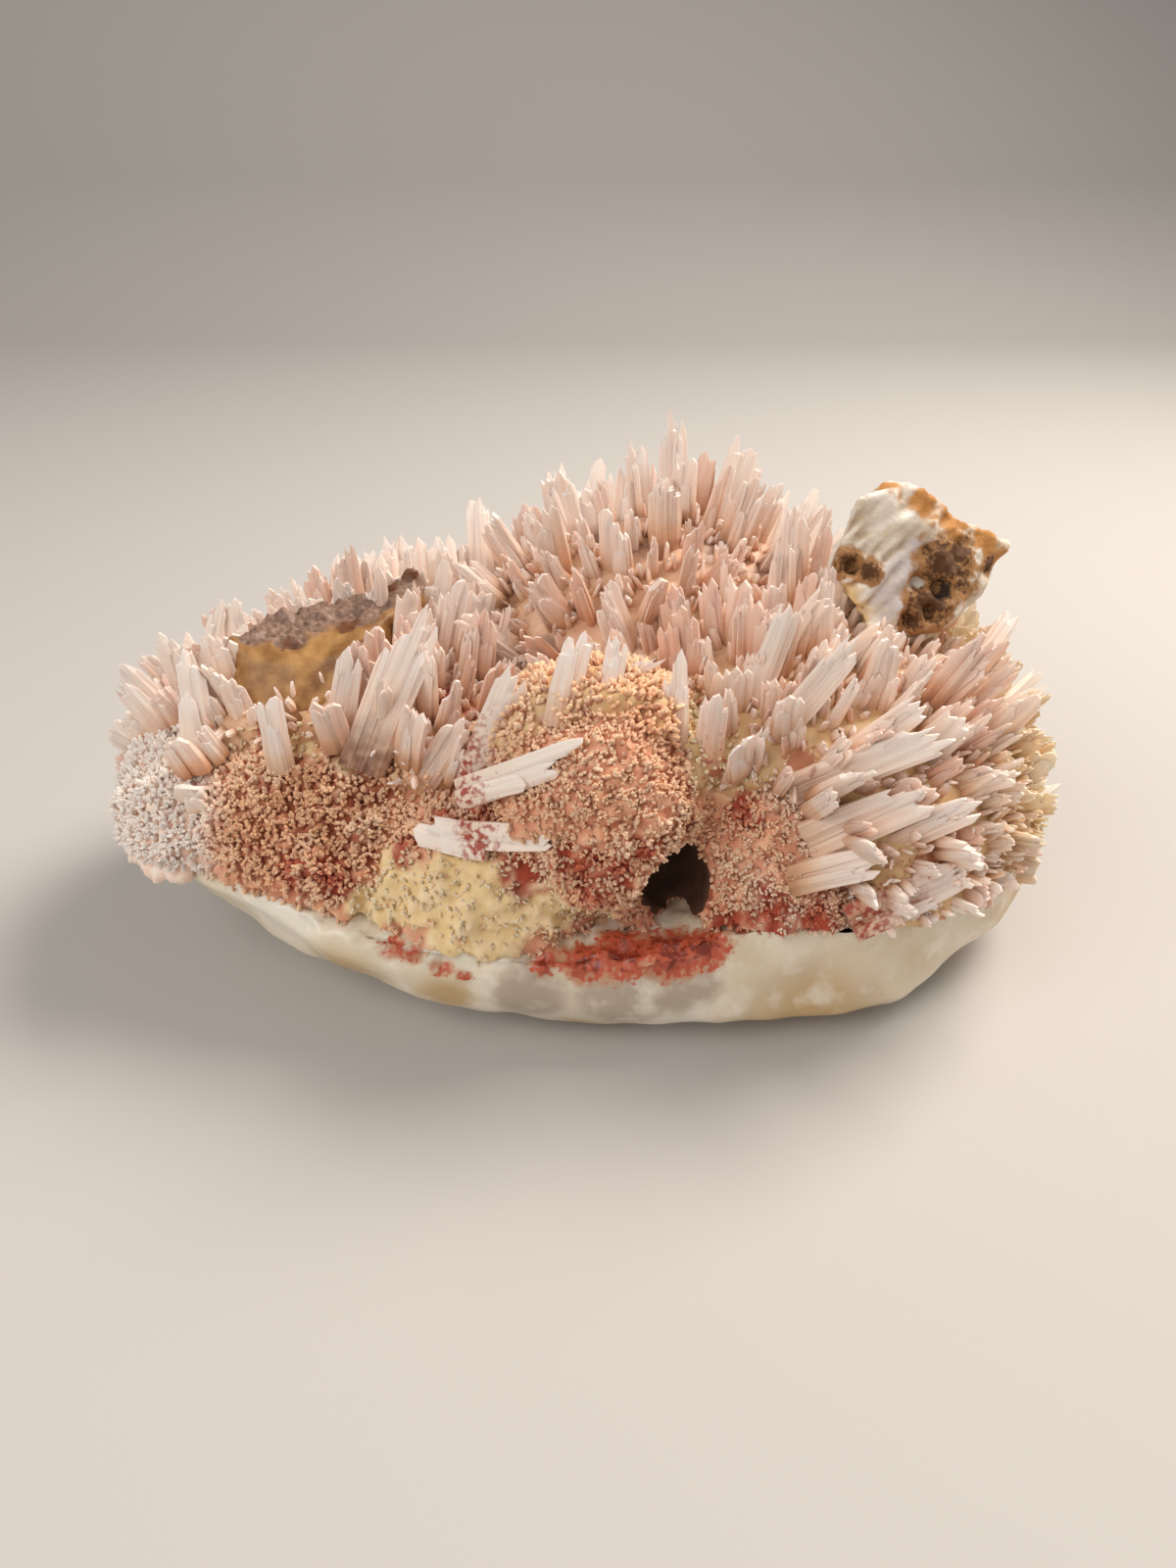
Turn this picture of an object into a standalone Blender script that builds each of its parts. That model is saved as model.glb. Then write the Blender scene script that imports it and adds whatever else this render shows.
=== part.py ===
"""Stilbite crystals on mordenite, on the pale massive mineral that carries both.

The specimen is broken out of a cavity. Its underside is a smooth, bowl-shaped base of massive
cream mineral with a flat foot. Three rounded lobes and a small ball of spongy, pink-tan mordenite
grew on the base. Flat white and pink stilbite laths radiate from the lobes, and leave the mordenite
bare along the front. Two remains of the broken cavity wall and a few loose laths lie on top.

Sizes are in millimetres until finish() turns them to metres. X runs along the specimen's length,
the bare front faces -Y, and Z is up, with the origin on the foot.
"""

import math
import random

import bmesh
import bpy
from mathutils import Matrix, Vector, noise

MM = 0.001
GAP = 0.35  # between two pieces that touch
SEED = 11

# The base
RIM_CENTRE = Vector((-1.0, 4.0, 0.0))
RIM_RADII = (72.5, 44.0)
RIM_FULLNESS = 2.3  # 2 gives an ellipse, more a fuller outline
FOOT_CENTRE = Vector((17.0, 3.0, 0.0))
FOOT_RADII = (34.0, 29.0)
BASE_SEGMENTS = 34

# Lobes of mordenite, each (centre, radii)
LEFT_LOBE = (Vector((-34, 1, 25)), Vector((37, 34.5, 20)))
RIGHT_LOBE = (Vector((26, -2, 22)), Vector((41.5, 35, 30)))
BACK_LOBE = (Vector((11, 16, 20)), Vector((36, 31, 39)))
FRONT_BALL = (Vector((1, -27, 38)), Vector((15, 15, 15)))
FRONT_LEDGE = (Vector((-15, -27, 22)), Vector((17, 12, 14)))
LEFT_BULGE = (Vector((-57.5, -11, 26)), Vector((13.2, 16, 12.5)))
CRUMB = (Vector((7.5, -38.5, 25.5)), Vector((2.6, 2.4, 2.2)))
MAIN_LOBES = (LEFT_LOBE, RIGHT_LOBE, BACK_LOBE)
ALL_LOBES = (*MAIN_LOBES, FRONT_BALL, FRONT_LEDGE, LEFT_BULGE)
GRAIN_SPACINGS = (8.6, 8.2, 0, 7.6, 8.4, 8.4)  # on each of the lobes, 0 for none
GRAIN = (2.8, 2.3)  # radius and height of a spongy grain

# Where no stilbite grew and the mordenite is bare, each (centre, radius)
BARE_PATCHES = (
    (Vector((-44, -38, 30)), 21.0),
    (Vector((-70, -20, 26)), 15.0),
    (Vector((2, -43, 36)), 17.5),
    (Vector((-15, -43, 28)), 19.0),
    (Vector((19, -41, 26)), 16.0),
)
CAVITY = (Vector((11.5, -37, 26.0)), Vector((5.2, 13.0, 7.0)))

# Stilbite
DRUSE_THICKNESS = 3.0  # the layer in which the laths are grown together
DRUSE_OVERHANG = 4.0  # how far the layer reaches down over the base's edge
ROOT_DEPTH = 1.8  # how deep a lath starts under the layer's surface
LATH_SPACING = 8.4
LATH_LENGTH = 14.5
LATH_WIDTH = 5.2
LATH_THICKNESS = 2.4


def clear_scene():
    for obj in list(bpy.data.objects):
        bpy.data.objects.remove(obj)


def smoothstep(low, high, value):
    t = min(1.0, max(0.0, (value - low) / (high - low)))
    return t * t * (3 - 2 * t)


def mesh_object(name, bm):
    mesh = bpy.data.meshes.new(name)
    bm.to_mesh(mesh)
    bm.free()
    obj = bpy.data.objects.new(name, mesh)
    bpy.context.scene.collection.objects.link(obj)
    return obj


def combine(obj, other, operation):
    """Joins other to obj or cuts it away, and removes other."""
    boolean = obj.modifiers.new("combine", "BOOLEAN")
    boolean.operation = operation
    boolean.solver = "MANIFOLD"
    boolean.object = other
    graph = bpy.context.evaluated_depsgraph_get()
    result = bpy.data.meshes.new_from_object(obj.evaluated_get(graph))
    obj.modifiers.clear()
    obj.data = result
    bpy.data.objects.remove(other)


def grown(obj, distance):
    """A copy of obj with its surface moved outwards, to cut a neighbour with."""
    bm = bmesh.new()
    bm.from_mesh(obj.data)
    bm.normal_update()
    moved = [v.co + v.normal * distance * min(v.calc_shell_factor(), 2.0) for v in bm.verts]
    for vert, place in zip(bm.verts, moved):
        vert.co = place
    return mesh_object(obj.name + "_grown", bm)


def keep_largest_body(obj):
    """Removes chips that a cut has separated."""
    bm = bmesh.new()
    bm.from_mesh(obj.data)
    bodies = []
    unseen = set(bm.verts)
    while unseen:
        queue = [unseen.pop()]
        body = set(queue)
        while queue:
            for edge in queue.pop().link_edges:
                for vert in edge.verts:
                    if vert in unseen:
                        unseen.discard(vert)
                        body.add(vert)
                        queue.append(vert)
        bodies.append(body)
    largest = max(bodies, key=len)
    bmesh.ops.delete(bm, geom=[v for v in bm.verts if v not in largest], context="VERTS")
    bm.to_mesh(obj.data)
    bm.free()


def roughen(bm, verts, amount, scale, offset):
    """Moves vertices in and out along their normals by smooth noise."""
    bm.normal_update()
    shifts = [noise.noise(vert.co / scale + offset) * amount for vert in verts]
    normals = [vert.normal.copy() for vert in verts]
    for vert, shift, normal in zip(verts, shifts, normals):
        vert.co += normal * shift


def lobe_object(name, lobe, extra=0.0, segments=12, rings=8, rough=1.6):
    """A roughened ellipsoid. With extra, the same shape with its surface moved outwards."""
    centre, radii = lobe
    bm = bmesh.new()
    verts = bmesh.ops.create_uvsphere(
        bm,
        u_segments=segments,
        v_segments=rings,
        radius=1.0,
        matrix=Matrix.Translation(centre) @ Matrix.Diagonal((*radii, 1)),
    )["verts"]
    bmesh.ops.triangulate(bm, faces=bm.faces)
    roughen(bm, verts, rough, 9.0, centre)
    if extra:
        bm.normal_update()
        moved = [vert.co + vert.normal * extra for vert in verts]
        for vert, place in zip(verts, moved):
            vert.co = place
    return mesh_object(name, bm)


def surface_point(lobe, direction, extra=0.0):
    """Where a ray from the lobe's centre leaves the ellipsoid, and the outward normal there."""
    centre, radii = lobe
    radii = radii + Vector((extra, extra, extra))
    stretched = Vector([d / r for d, r in zip(direction, radii)])
    offset = direction / stretched.length
    normal = Vector([o / (r * r) for o, r in zip(offset, radii)]).normalized()
    return centre + offset, normal


def inside(lobe, point, scale=1.0):
    centre, radii = lobe
    return sum(((p - c) / (r * scale)) ** 2 for p, c, r in zip(point, centre, radii)) < 1.0


def is_bare(point, margin=0.0):
    return any((point - centre).length < radius + margin for centre, radius in BARE_PATCHES)


def spread_directions(count):
    """Directions spread evenly over a whole sphere along a golden spiral."""
    golden_angle = math.pi * (3 - math.sqrt(5))
    for i in range(count):
        z = 1 - 2 * (i + 0.5) / count
        flat = math.sqrt(1 - z * z)
        yield Vector((flat * math.cos(i * golden_angle), flat * math.sin(i * golden_angle), z))


def places_on(lobe, spacing, extra=0.0):
    """Points and normals spread over a lobe, about spacing apart."""
    radii = lobe[1]
    mean_radius = (radii.x + radii.y + radii.z) / 3 + extra
    count = int(4 * math.pi * mean_radius**2 / spacing**2)
    for direction in spread_directions(count):
        yield surface_point(lobe, direction, extra)


# The base: rings round the outline, from the flat foot up the bowl to the flat top.


def rim_bottom(x):
    """Height of the outline's lower edge, which rises towards the left end."""
    left = 6.5 * smoothstep(36.0, -16.0, x) + 10.5 * smoothstep(-12.0, -56.0, x)
    return 5.0 + left + 6.5 * smoothstep(38.0, 70.0, x)


def rim_top(x):
    """Height of the outline's upper edge, which steps up where the stained ledge ends."""
    return 18.5 + 7.0 * smoothstep(-12.0, -62.0, x) + 3.0 * smoothstep(15.0, 21.0, x)


def base_object(name, outset=0.0, drop=0.0):
    """The base, or a wider and lower body of the same kind to cut with."""
    bm = bmesh.new()
    rings = []
    for share_out, share_up in ((0, 0), (0.52, 0.22), (0.86, 0.62), (1, 1), (1, 2), (0.97, 3)):
        ring = []
        for i in range(BASE_SEGMENTS):
            angle = math.tau * i / BASE_SEGMENTS
            turn = Vector((math.cos(angle), math.sin(angle), 0))
            foot = FOOT_CENTRE + Vector((turn.x * FOOT_RADII[0], turn.y * FOOT_RADII[1], 0))
            full = Vector([math.copysign(abs(t) ** (2 / RIM_FULLNESS), t) for t in turn])
            rim = RIM_CENTRE + Vector((full.x * RIM_RADII[0], full.y * RIM_RADII[1], 0))
            wobble = 1 + 0.035 * noise.noise(turn * 2.3)
            place = foot.lerp(RIM_CENTRE.lerp(rim, wobble), share_out)
            low = rim_bottom(place.x)
            if share_up <= 1:
                place.z = low * share_up
            else:
                place.z = low + (rim_top(place.x) - low) * (share_up - 1) / 2
            place += Vector((turn.x, turn.y, 0)) * outset
            place.z -= drop
            ring.append(bm.verts.new(place))
        rings.append(ring)
    for lower, upper in zip(rings, rings[1:]):
        for i in range(BASE_SEGMENTS):
            j = (i + 1) % BASE_SEGMENTS
            bm.faces.new((lower[i], lower[j], upper[j], upper[i]))
    bm.faces.new(list(reversed(rings[0])))
    middle = bm.verts.new((RIM_CENTRE.x, RIM_CENTRE.y, rim_top(RIM_CENTRE.x) - drop))
    for i in range(BASE_SEGMENTS):
        bm.faces.new((rings[-1][i], rings[-1][(i + 1) % BASE_SEGMENTS], middle))
    bmesh.ops.triangulate(bm, faces=bm.faces)
    flank = [vert for ring in rings[1:-1] for vert in ring]
    roughen(bm, flank, 1.3, 7.0, Vector((3, 1, 4)))
    return mesh_object(name, bm)


# The mordenite: lobes joined, cut flat at the base's top, with spongy grains on the bare front.


def grain_object(place, normal, height, extra=0.0):
    bm = bmesh.new()
    radius = GRAIN[0] * (0.7 + 0.3 * height / GRAIN[1]) + extra
    turn = normal.to_track_quat("Z", "X").to_matrix().to_4x4()
    bmesh.ops.create_cone(
        bm,
        cap_ends=True,
        segments=4,
        radius1=radius,
        radius2=0.0,
        depth=height + 1.5 + 2 * extra,
        matrix=Matrix.Translation(place + normal * (height / 2 - 0.75 + extra)) @ turn,
    )
    return mesh_object("grain", bm)


def grain_places():
    """Where the grains stand: (place, direction, height)."""
    rng = random.Random(SEED)  # the same grains each time
    for lobe, spacing in zip(ALL_LOBES, GRAIN_SPACINGS):
        if not spacing:
            continue
        others = [other for other in ALL_LOBES if other is not lobe]
        for place, normal in places_on(lobe, spacing):
            hidden = any(inside(other, place, 1.02) for other in others)
            if hidden or place.z < rim_top(place.x) + 1.5 or not is_bare(place, -1.0):
                continue
            if inside(CAVITY, place, 1.3) or normal.y > 0.2:
                continue
            lean = Vector([rng.uniform(-0.25, 0.25) for _ in range(3)])
            yield place, (normal + lean).normalized(), GRAIN[1] * rng.uniform(0.55, 1.0)


def mordenite_solids(extra=0.0):
    """The lobes and grains one by one. With extra, each is larger by that much."""
    for lobe in MAIN_LOBES:
        yield lobe_object("lobe", lobe, extra)
    for lobe in (FRONT_BALL, FRONT_LEDGE, LEFT_BULGE):
        yield lobe_object("lobe", lobe, extra, rough=1.2)
    yield lobe_object("crumb", CRUMB, extra, 6, 4, 0.6)
    for place, normal, height in grain_places():
        yield grain_object(place, normal, height, extra)


def make_mordenite(base):
    solids = mordenite_solids()
    body = next(solids)
    body.name = "mordenite_crust"
    for solid in solids:
        combine(body, solid, "UNION")
    combine(body, lobe_object("cavity", CAVITY, rough=1.0), "DIFFERENCE")
    combine(body, base_object("skirt", 20.0, 1.0), "DIFFERENCE")
    combine(body, grown(base, GAP), "DIFFERENCE")
    keep_largest_body(body)
    return body


# The stilbite: a layer of grown-together crystal over the lobes, and flat laths that stand on it.


def lath_outline(width, length, rng):
    """The front of a bundle of laths: narrow at the root, with a stepped, jagged top."""
    half = width / 2
    root = [(-half * 0.75, 0.0), (half * 0.75, 0.0)]
    shoulder = (half, length * rng.uniform(0.66, 0.82))
    peak = (half * rng.uniform(0.0, 0.6), length)
    notch = (peak[0] - half * rng.uniform(0.5, 0.7), length * rng.uniform(0.8, 0.88))
    corner = (-half, length * rng.uniform(0.6, 0.94))
    outline = [*root, shoulder, peak, notch, corner]
    if rng.random() < 0.5:
        outline = [(-x, y) for x, y in reversed(outline)]
    return outline


def add_lath(bm, root, tip, width, thickness, face, rng):
    """A flat bundle of laths from root to tip. face is roughly where its broad side looks."""
    along = (tip - root).normalized()
    across = along.cross(face).normalized()
    through = across.cross(along).normalized()
    length = (tip - root).length
    front = []
    back = []
    for x, y in lath_outline(width, length, rng):
        half = thickness / 2 * (1 - 0.45 * y / length)
        centre = root + across * x + along * y
        front.append(bm.verts.new(centre + through * half))
        back.append(bm.verts.new(centre - through * half))
    bm.faces.new(front)
    bm.faces.new(list(reversed(back)))
    for i in range(len(front)):
        j = (i + 1) % len(front)
        bm.faces.new((front[j], front[i], back[i], back[j]))


def lath_length(place):
    """Laths are longest on the crown, and stubby low down and at both ends."""
    crown = 0.5 + 0.5 * smoothstep(18.0, 44.0, place.z)
    left = 1 - 0.35 * smoothstep(-30.0, -55.0, place.x)
    right = 1 - 0.35 * smoothstep(50.0, 68.0, place.x)
    shard = 1 - 0.5 * smoothstep(17.0, 9.0, (place - SHARD_PLACE).length)
    return LATH_LENGTH * crown * left * right * shard


SHARD_PLACE = Vector((48, -3, 52))
PATCH_CLEARING = (Vector((-41, -9, 46)), 11.5)  # the laths here broke away with the wall
# Laths that stand out one by one: (root, tip, width, thickness)
STANDING_LATHS = (
    # The left end
    (Vector((-62, -10.5, 39)), Vector((-69, -11, 50)), 6.5, 3.0),
    (Vector((-59, -6.5, 42)), Vector((-61.5, -6, 53.5)), 5.0, 2.6),
    (Vector((-57.5, -4, 43.5)), Vector((-54.5, 0, 55.5)), 3.4, 2.4),
    (Vector((-55, -16.5, 40)), Vector((-56, -13, 53)), 4.6, 2.6),
    (Vector((-30, -23, 42)), Vector((-21.5, -16, 62)), 7.2, 2.8),
    (Vector((-34, -21, 43.5)), Vector((-31, -20, 58)), 3.6, 2.2),
    (Vector((-43, -22, 41)), Vector((-44, -21, 50)), 3.6, 2.4),
    (Vector((-21.5, -24, 39.5)), Vector((-17, -23, 47.5)), 4.0, 2.4),
    (Vector((-14, -29, 43)), Vector((-8.5, -29, 58)), 4.2, 2.4),
    # The middle
    (Vector((-3, -31, 53)), Vector((-0.5, -27, 63)), 3.6, 2.4),
    (Vector((2.5, -30, 53)), Vector((4, -27, 61)), 3.0, 2.2),
    (Vector((-1, -28, 52)), Vector((11, -26, 57.5)), 1.6, 1.4),
    (Vector((11, -30, 48)), Vector((11, -27, 59)), 3.4, 2.4),
    (Vector((15.5, -30, 46)), Vector((15.5, -32, 55.5)), 3.6, 2.4),
    (Vector((20, -30, 43)), Vector((22, -33, 51)), 3.2, 2.2),
    (Vector((26, -26, 47)), Vector((35, -29, 62.5)), 3.8, 2.4),
    (Vector((22.5, -22, 49)), Vector((27, -22, 65)), 3.6, 2.4),
    # The right front
    (Vector((34, -29, 43.5)), Vector((44.5, -32, 55)), 4.2, 2.6),
    (Vector((30, -31, 41)), Vector((48, -34, 51.5)), 5.4, 2.8),
    (Vector((32, -34.5, 35.5)), Vector((45, -36, 43.5)), 6.2, 3.0),
    (Vector((41.5, -33.5, 34)), Vector((51.5, -35, 41)), 5.0, 2.8),
    (Vector((38.5, -36.5, 24)), Vector((53.5, -34, 31)), 6.2, 3.0),
    (Vector((30, -36.5, 30)), Vector((39, -39, 34.5)), 5.0, 2.8),
    # The right end
    (Vector((56, -16, 40)), Vector((70, -4, 47)), 4.6, 2.6),
    (Vector((55, -10, 45)), Vector((64, -2, 54)), 4.0, 2.6),
    (Vector((58, -22, 29)), Vector((72, -12, 32)), 4.0, 2.6),
    # The crown
    (Vector((8.5, 20, 56)), Vector((7, 26, 76)), 4.2, 2.4),
    (Vector((14, 20, 56)), Vector((13, 26, 78.5)), 6.0, 2.6),
    (Vector((21, 20, 56)), Vector((27, 27, 75)), 6.6, 2.6),
    (Vector((31, 16, 52)), Vector((38, 24, 66)), 6.4, 2.4),
    (Vector((-4.5, 20, 52)), Vector((-5, 28, 69)), 4.8, 2.4),
    (Vector((-17, 18, 48)), Vector((-18, 27, 64.5)), 4.4, 2.4),
    (Vector((-40, 12, 45)), Vector((-40, 20, 58)), 4.2, 2.2),
    (Vector((-35, 12, 45)), Vector((-36, 20, 58)), 4.0, 2.2),
    (Vector((1, 18, 54)), Vector((1, 25, 69.5)), 5.0, 2.4),
    (Vector((4.5, 18, 54)), Vector((5.5, 24, 68)), 4.0, 2.4),
    (Vector((27.5, 17, 53)), Vector((33, 25, 66)), 5.4, 2.4),
    (Vector((36, 7, 50)), Vector((40.5, 14, 62.5)), 5.4, 2.4),
    (Vector((31, 13, 48)), Vector((35.5, 20, 58)), 5.0, 2.4),
    (Vector((-27, 14, 46)), Vector((-29.5, 20, 61)), 4.6, 2.4),
    (Vector((-22.5, 14, 46)), Vector((-24.5, 20, 60)), 4.6, 2.4),
    (Vector((-31, 12, 45)), Vector((-33.5, 19, 58)), 4.4, 2.4),
)


def lath_object(root, tip, width, thickness, face, rng, name="lath"):
    bm = bmesh.new()
    add_lath(bm, root, tip, width, thickness, face, rng)
    return mesh_object(name, bm)


def grown_laths(rng):
    """The laths that radiate from the lobes, as separate solids."""
    for lobe in MAIN_LOBES:
        others = [other for other in MAIN_LOBES if other is not lobe]
        for place, normal in places_on(lobe, LATH_SPACING):
            if any(inside(other, place, 1.04) for other in others) or is_bare(place, 0.5):
                continue
            if inside(FRONT_BALL, place, 1.1) or place.z < rim_top(place.x) - 1:
                continue
            if (place - SHARD_PLACE).length < 10 or place.y > 16 and rng.random() < 0.45:
                continue
            lean = Vector([rng.uniform(-0.2, 0.2) for _ in range(3)])
            upright = Vector((0, 0, 0.22))
            along = (normal + lean + upright).normalized()
            face = Vector((rng.uniform(-0.7, 0.7), -1.0, rng.uniform(-0.3, 0.6)))
            length = lath_length(place) * rng.uniform(0.75, 1.2)
            root = place - along * (ROOT_DEPTH - DRUSE_THICKNESS)
            width = LATH_WIDTH * rng.uniform(0.75, 1.3) * (1.3 if place.y > 16 else 1.0)
            thickness = LATH_THICKNESS * rng.uniform(0.8, 1.3)
            lath = lath_object(root, place + along * length, width, thickness, face, rng)
            sparse = place.y > 20 and place.z < 40 and int(place.x) % 2  # low at the back
            if sparse or (place - PATCH_CLEARING[0]).length < PATCH_CLEARING[1]:
                bpy.data.objects.remove(lath)
            else:
                yield lath
    for root, tip, width, thickness in STANDING_LATHS:
        deeper = root - (tip - root).normalized() * 2 * ROOT_DEPTH
        yield lath_object(deeper, tip, width, thickness, Vector((0.15, -1, 0.3)), rng)


def make_stilbite(base, rng):
    """The layer and its laths, cut clear of the mordenite and the base."""
    druse = lobe_object("stilbite_crystals", MAIN_LOBES[0], DRUSE_THICKNESS)
    for lobe in MAIN_LOBES[1:]:
        combine(druse, lobe_object("lobe", lobe, DRUSE_THICKNESS), "UNION")
    combine(druse, lobe_object("lobe", FRONT_BALL, DRUSE_THICKNESS, rough=1.2), "UNION")
    for centre, radius in BARE_PATCHES:
        patch = (centre, Vector((radius, radius, radius)))
        combine(druse, lobe_object("patch", patch, rough=3.0), "DIFFERENCE")
    for lath in grown_laths(rng):
        combine(druse, lath, "UNION")
    combine(druse, base_object("skirt", 20.0, DRUSE_OVERHANG), "DIFFERENCE")
    combine(druse, grown(base, GAP), "DIFFERENCE")
    for solid in mordenite_solids(GAP):
        combine(druse, solid, "DIFFERENCE")
    keep_largest_body(druse)
    return druse


# The remains of the cavity's wall, and crystals that stand apart. Each has a seat cut for it.


def stone_object(name, front, back, rough):
    """A broken slab between two outlines of equal length, with a rough surface."""
    bm = bmesh.new()
    near = [bm.verts.new(corner) for corner in front]
    far = [bm.verts.new(corner) for corner in back]
    bm.faces.new(near)
    bm.faces.new(list(reversed(far)))
    count = len(near)
    for i in range(count):
        j = (i + 1) % count
        bm.faces.new((near[j], near[i], far[i], far[j]))
    bmesh.ops.recalc_face_normals(bm, faces=bm.faces)
    bmesh.ops.triangulate(bm, faces=bm.faces)
    bmesh.ops.subdivide_edges(bm, edges=bm.edges, cuts=1, use_grid_fill=True)
    bmesh.ops.triangulate(bm, faces=bm.faces)
    roughen(bm, bm.verts, rough, 3.0, Vector((7, 2, 5)))
    return mesh_object(name, bm)


def make_shard():
    front = (
        (33.5, -10, 64),
        (37.5, -6, 71.5),
        (43.5, -3, 73.5),
        (52, -2, 68.5),
        (61, -1, 63.5),
        (57, -5, 58),
        (49.5, -10, 53.5),
        (40.5, -11, 52.5),
    )
    back = [Vector(corner) + Vector((1.5, 9, -5)) for corner in front]
    return stone_object("matrix_shard_right", [Vector(corner) for corner in front], back, 1.6)


def make_patch():
    top = (
        (-52.5, -8, 52),
        (-49, -11, 50),
        (-42, -12.5, 49.5),
        (-34.5, -11, 50.5),
        (-30, -5, 53),
        (-24.5, 2, 55.5),
        (-26.5, 6, 57.5),
        (-33, 3, 55),
        (-39.5, 1, 54),
        (-47.5, -2, 53.5),
    )
    bottom = [Vector(corner) + Vector((0.5, 2, -8)) for corner in top]
    for i, out in ((0, 4), (1, 7), (2, 8), (3, 7), (4, 4)):  # the front face slopes outwards
        bottom[i] += Vector((0, -out, -1))
    return stone_object("matrix_patch_left", [Vector(corner) for corner in top], bottom, 1.2)


def make_apart(rng):
    """The stilbite that lies or stands on the mordenite, away from the rest."""
    placed = {}
    for name, root, tip, width, thickness in (
        ("stilbite_blade_lying", Vector((-16.5, -34, 41)), Vector((1, -38.5, 50.5)), 4.4, 3.4),
        ("stilbite_blade_low", Vector((-16, -34, 34.5)), Vector((-1.5, -41, 38.5)), 3.6, 3.2),
        ("chip", Vector((-13, -35, 34)), Vector((-24.5, -32, 34)), 4.2, 3.2),
        ("stilbite_stub_left", Vector((-55.5, -22, 32.5)), Vector((-54.8, -27, 38)), 4.6, 3.6),
    ):
        face = Vector((0.1, -1, 0.5))
        placed[name] = lath_object(root, tip, width, thickness, face, rng, name)
    combine(placed["stilbite_blade_low"], placed.pop("chip"), "UNION")
    return placed.values()


def finish(obj, colour, roughness):
    """Turns a piece to metres and gives it its finish."""
    obj.data.transform(Matrix.Scale(MM, 4))
    material = bpy.data.materials.new(obj.name)
    material.use_nodes = True
    shader = material.node_tree.nodes["Principled BSDF"]
    shader.inputs["Base Color"].default_value = (*colour, 1)
    shader.inputs["Roughness"].default_value = roughness
    shader.inputs["Metallic"].default_value = 0.0
    obj.data.materials.clear()
    obj.data.materials.append(material)


def main():
    clear_scene()
    rng = random.Random(SEED)
    base = base_object("pale_base")
    mordenite = make_mordenite(base)
    stilbite = make_stilbite(base, rng)
    shard = make_shard()
    patch = make_patch()
    for stone in (shard, patch):
        combine(stilbite, grown(stone, GAP), "DIFFERENCE")
        combine(mordenite, grown(stone, GAP), "DIFFERENCE")
    keep_largest_body(stilbite)
    apart = make_apart(rng)
    for crystal in apart:
        combine(mordenite, grown(crystal, GAP), "DIFFERENCE")
        combine(stilbite, grown(crystal, GAP), "DIFFERENCE")
        finish(crystal, (0.80, 0.68, 0.62), 0.4)
    keep_largest_body(mordenite)
    keep_largest_body(stilbite)
    finish(base, (0.62, 0.53, 0.40), 0.35)
    finish(mordenite, (0.55, 0.33, 0.20), 0.9)
    finish(stilbite, (0.78, 0.62, 0.53), 0.45)
    finish(shard, (0.45, 0.36, 0.27), 0.8)
    finish(patch, (0.50, 0.43, 0.30), 0.7)


main()
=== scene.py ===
import math
import random

import bmesh
import bpy
from mathutils import Matrix, Vector, noise


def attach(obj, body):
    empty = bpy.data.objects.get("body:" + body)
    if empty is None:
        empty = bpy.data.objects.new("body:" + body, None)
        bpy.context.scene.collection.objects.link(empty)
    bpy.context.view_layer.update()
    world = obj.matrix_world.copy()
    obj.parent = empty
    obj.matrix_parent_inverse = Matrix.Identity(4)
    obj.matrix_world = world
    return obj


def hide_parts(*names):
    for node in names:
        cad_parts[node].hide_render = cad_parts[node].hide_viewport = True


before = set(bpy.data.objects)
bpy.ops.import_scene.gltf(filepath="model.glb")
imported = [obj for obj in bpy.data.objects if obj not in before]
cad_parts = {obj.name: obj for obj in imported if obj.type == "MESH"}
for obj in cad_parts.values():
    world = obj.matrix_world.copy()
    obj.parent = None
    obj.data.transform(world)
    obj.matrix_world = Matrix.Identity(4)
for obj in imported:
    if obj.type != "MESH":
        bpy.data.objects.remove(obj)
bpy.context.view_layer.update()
MM = 0.001  # sizes are in millimetres until place_piece turns them to metres

# The base is massive cream chalcedony that lined a gas bubble in basalt. Its underside is a smooth
# waxy bowl, its front edge is broken in shallow scallops, and iron has stained that edge red.

PALE_SCATTER = (1.0, 0.75, 0.6)  # pale stone scatters all colours nearly alike
CLOUD_DETAIL = 3.0
BASE_SKIN = 0.95
BASE_RED = (
    ((0, -39, 18), 5.5), ((5, -37, 18), 6.5), ((11, -37, 18), 6.5), ((16, -38, 19), 5.5),
    ((-6, -40, 18), 4.0), ((-27, -38, 19.5), 3.2), ((-24, -39, 18), 2.6), ((-20, -39, 16), 2.4),
    ((-17, -40, 15), 2.2), ((39, -38, 24), 3.0), ((21, -35, 21), 2.4), ((31, -36, 21.5), 2.2),
)
BASE_TAN = (
    ((-34, -35, 12), 9.0), ((-20, -38, 10), 7.0), ((30, -30, 3), 20.0), ((62, -14, 10), 14.0),
    ((0, -30, 3), 12.0),
)
BASE_GREY = (((4, -39, 13), 9.0), ((-8, -39, 12), 8.0), ((14, -38, 14), 7.0))


def linear(colour):
    """An sRGB hex colour as linear light."""
    parts = [int(colour[i : i + 2], 16) / 255 for i in (1, 3, 5)]
    return [p / 12.92 if p <= 0.04045 else ((p + 0.055) / 1.055) ** 2.4 for p in parts] + [1.0]


def smoothstep(low, high, value):
    t = min(1.0, max(0.0, (value - low) / (high - low)))
    return t * t * (3 - 2 * t)


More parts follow.
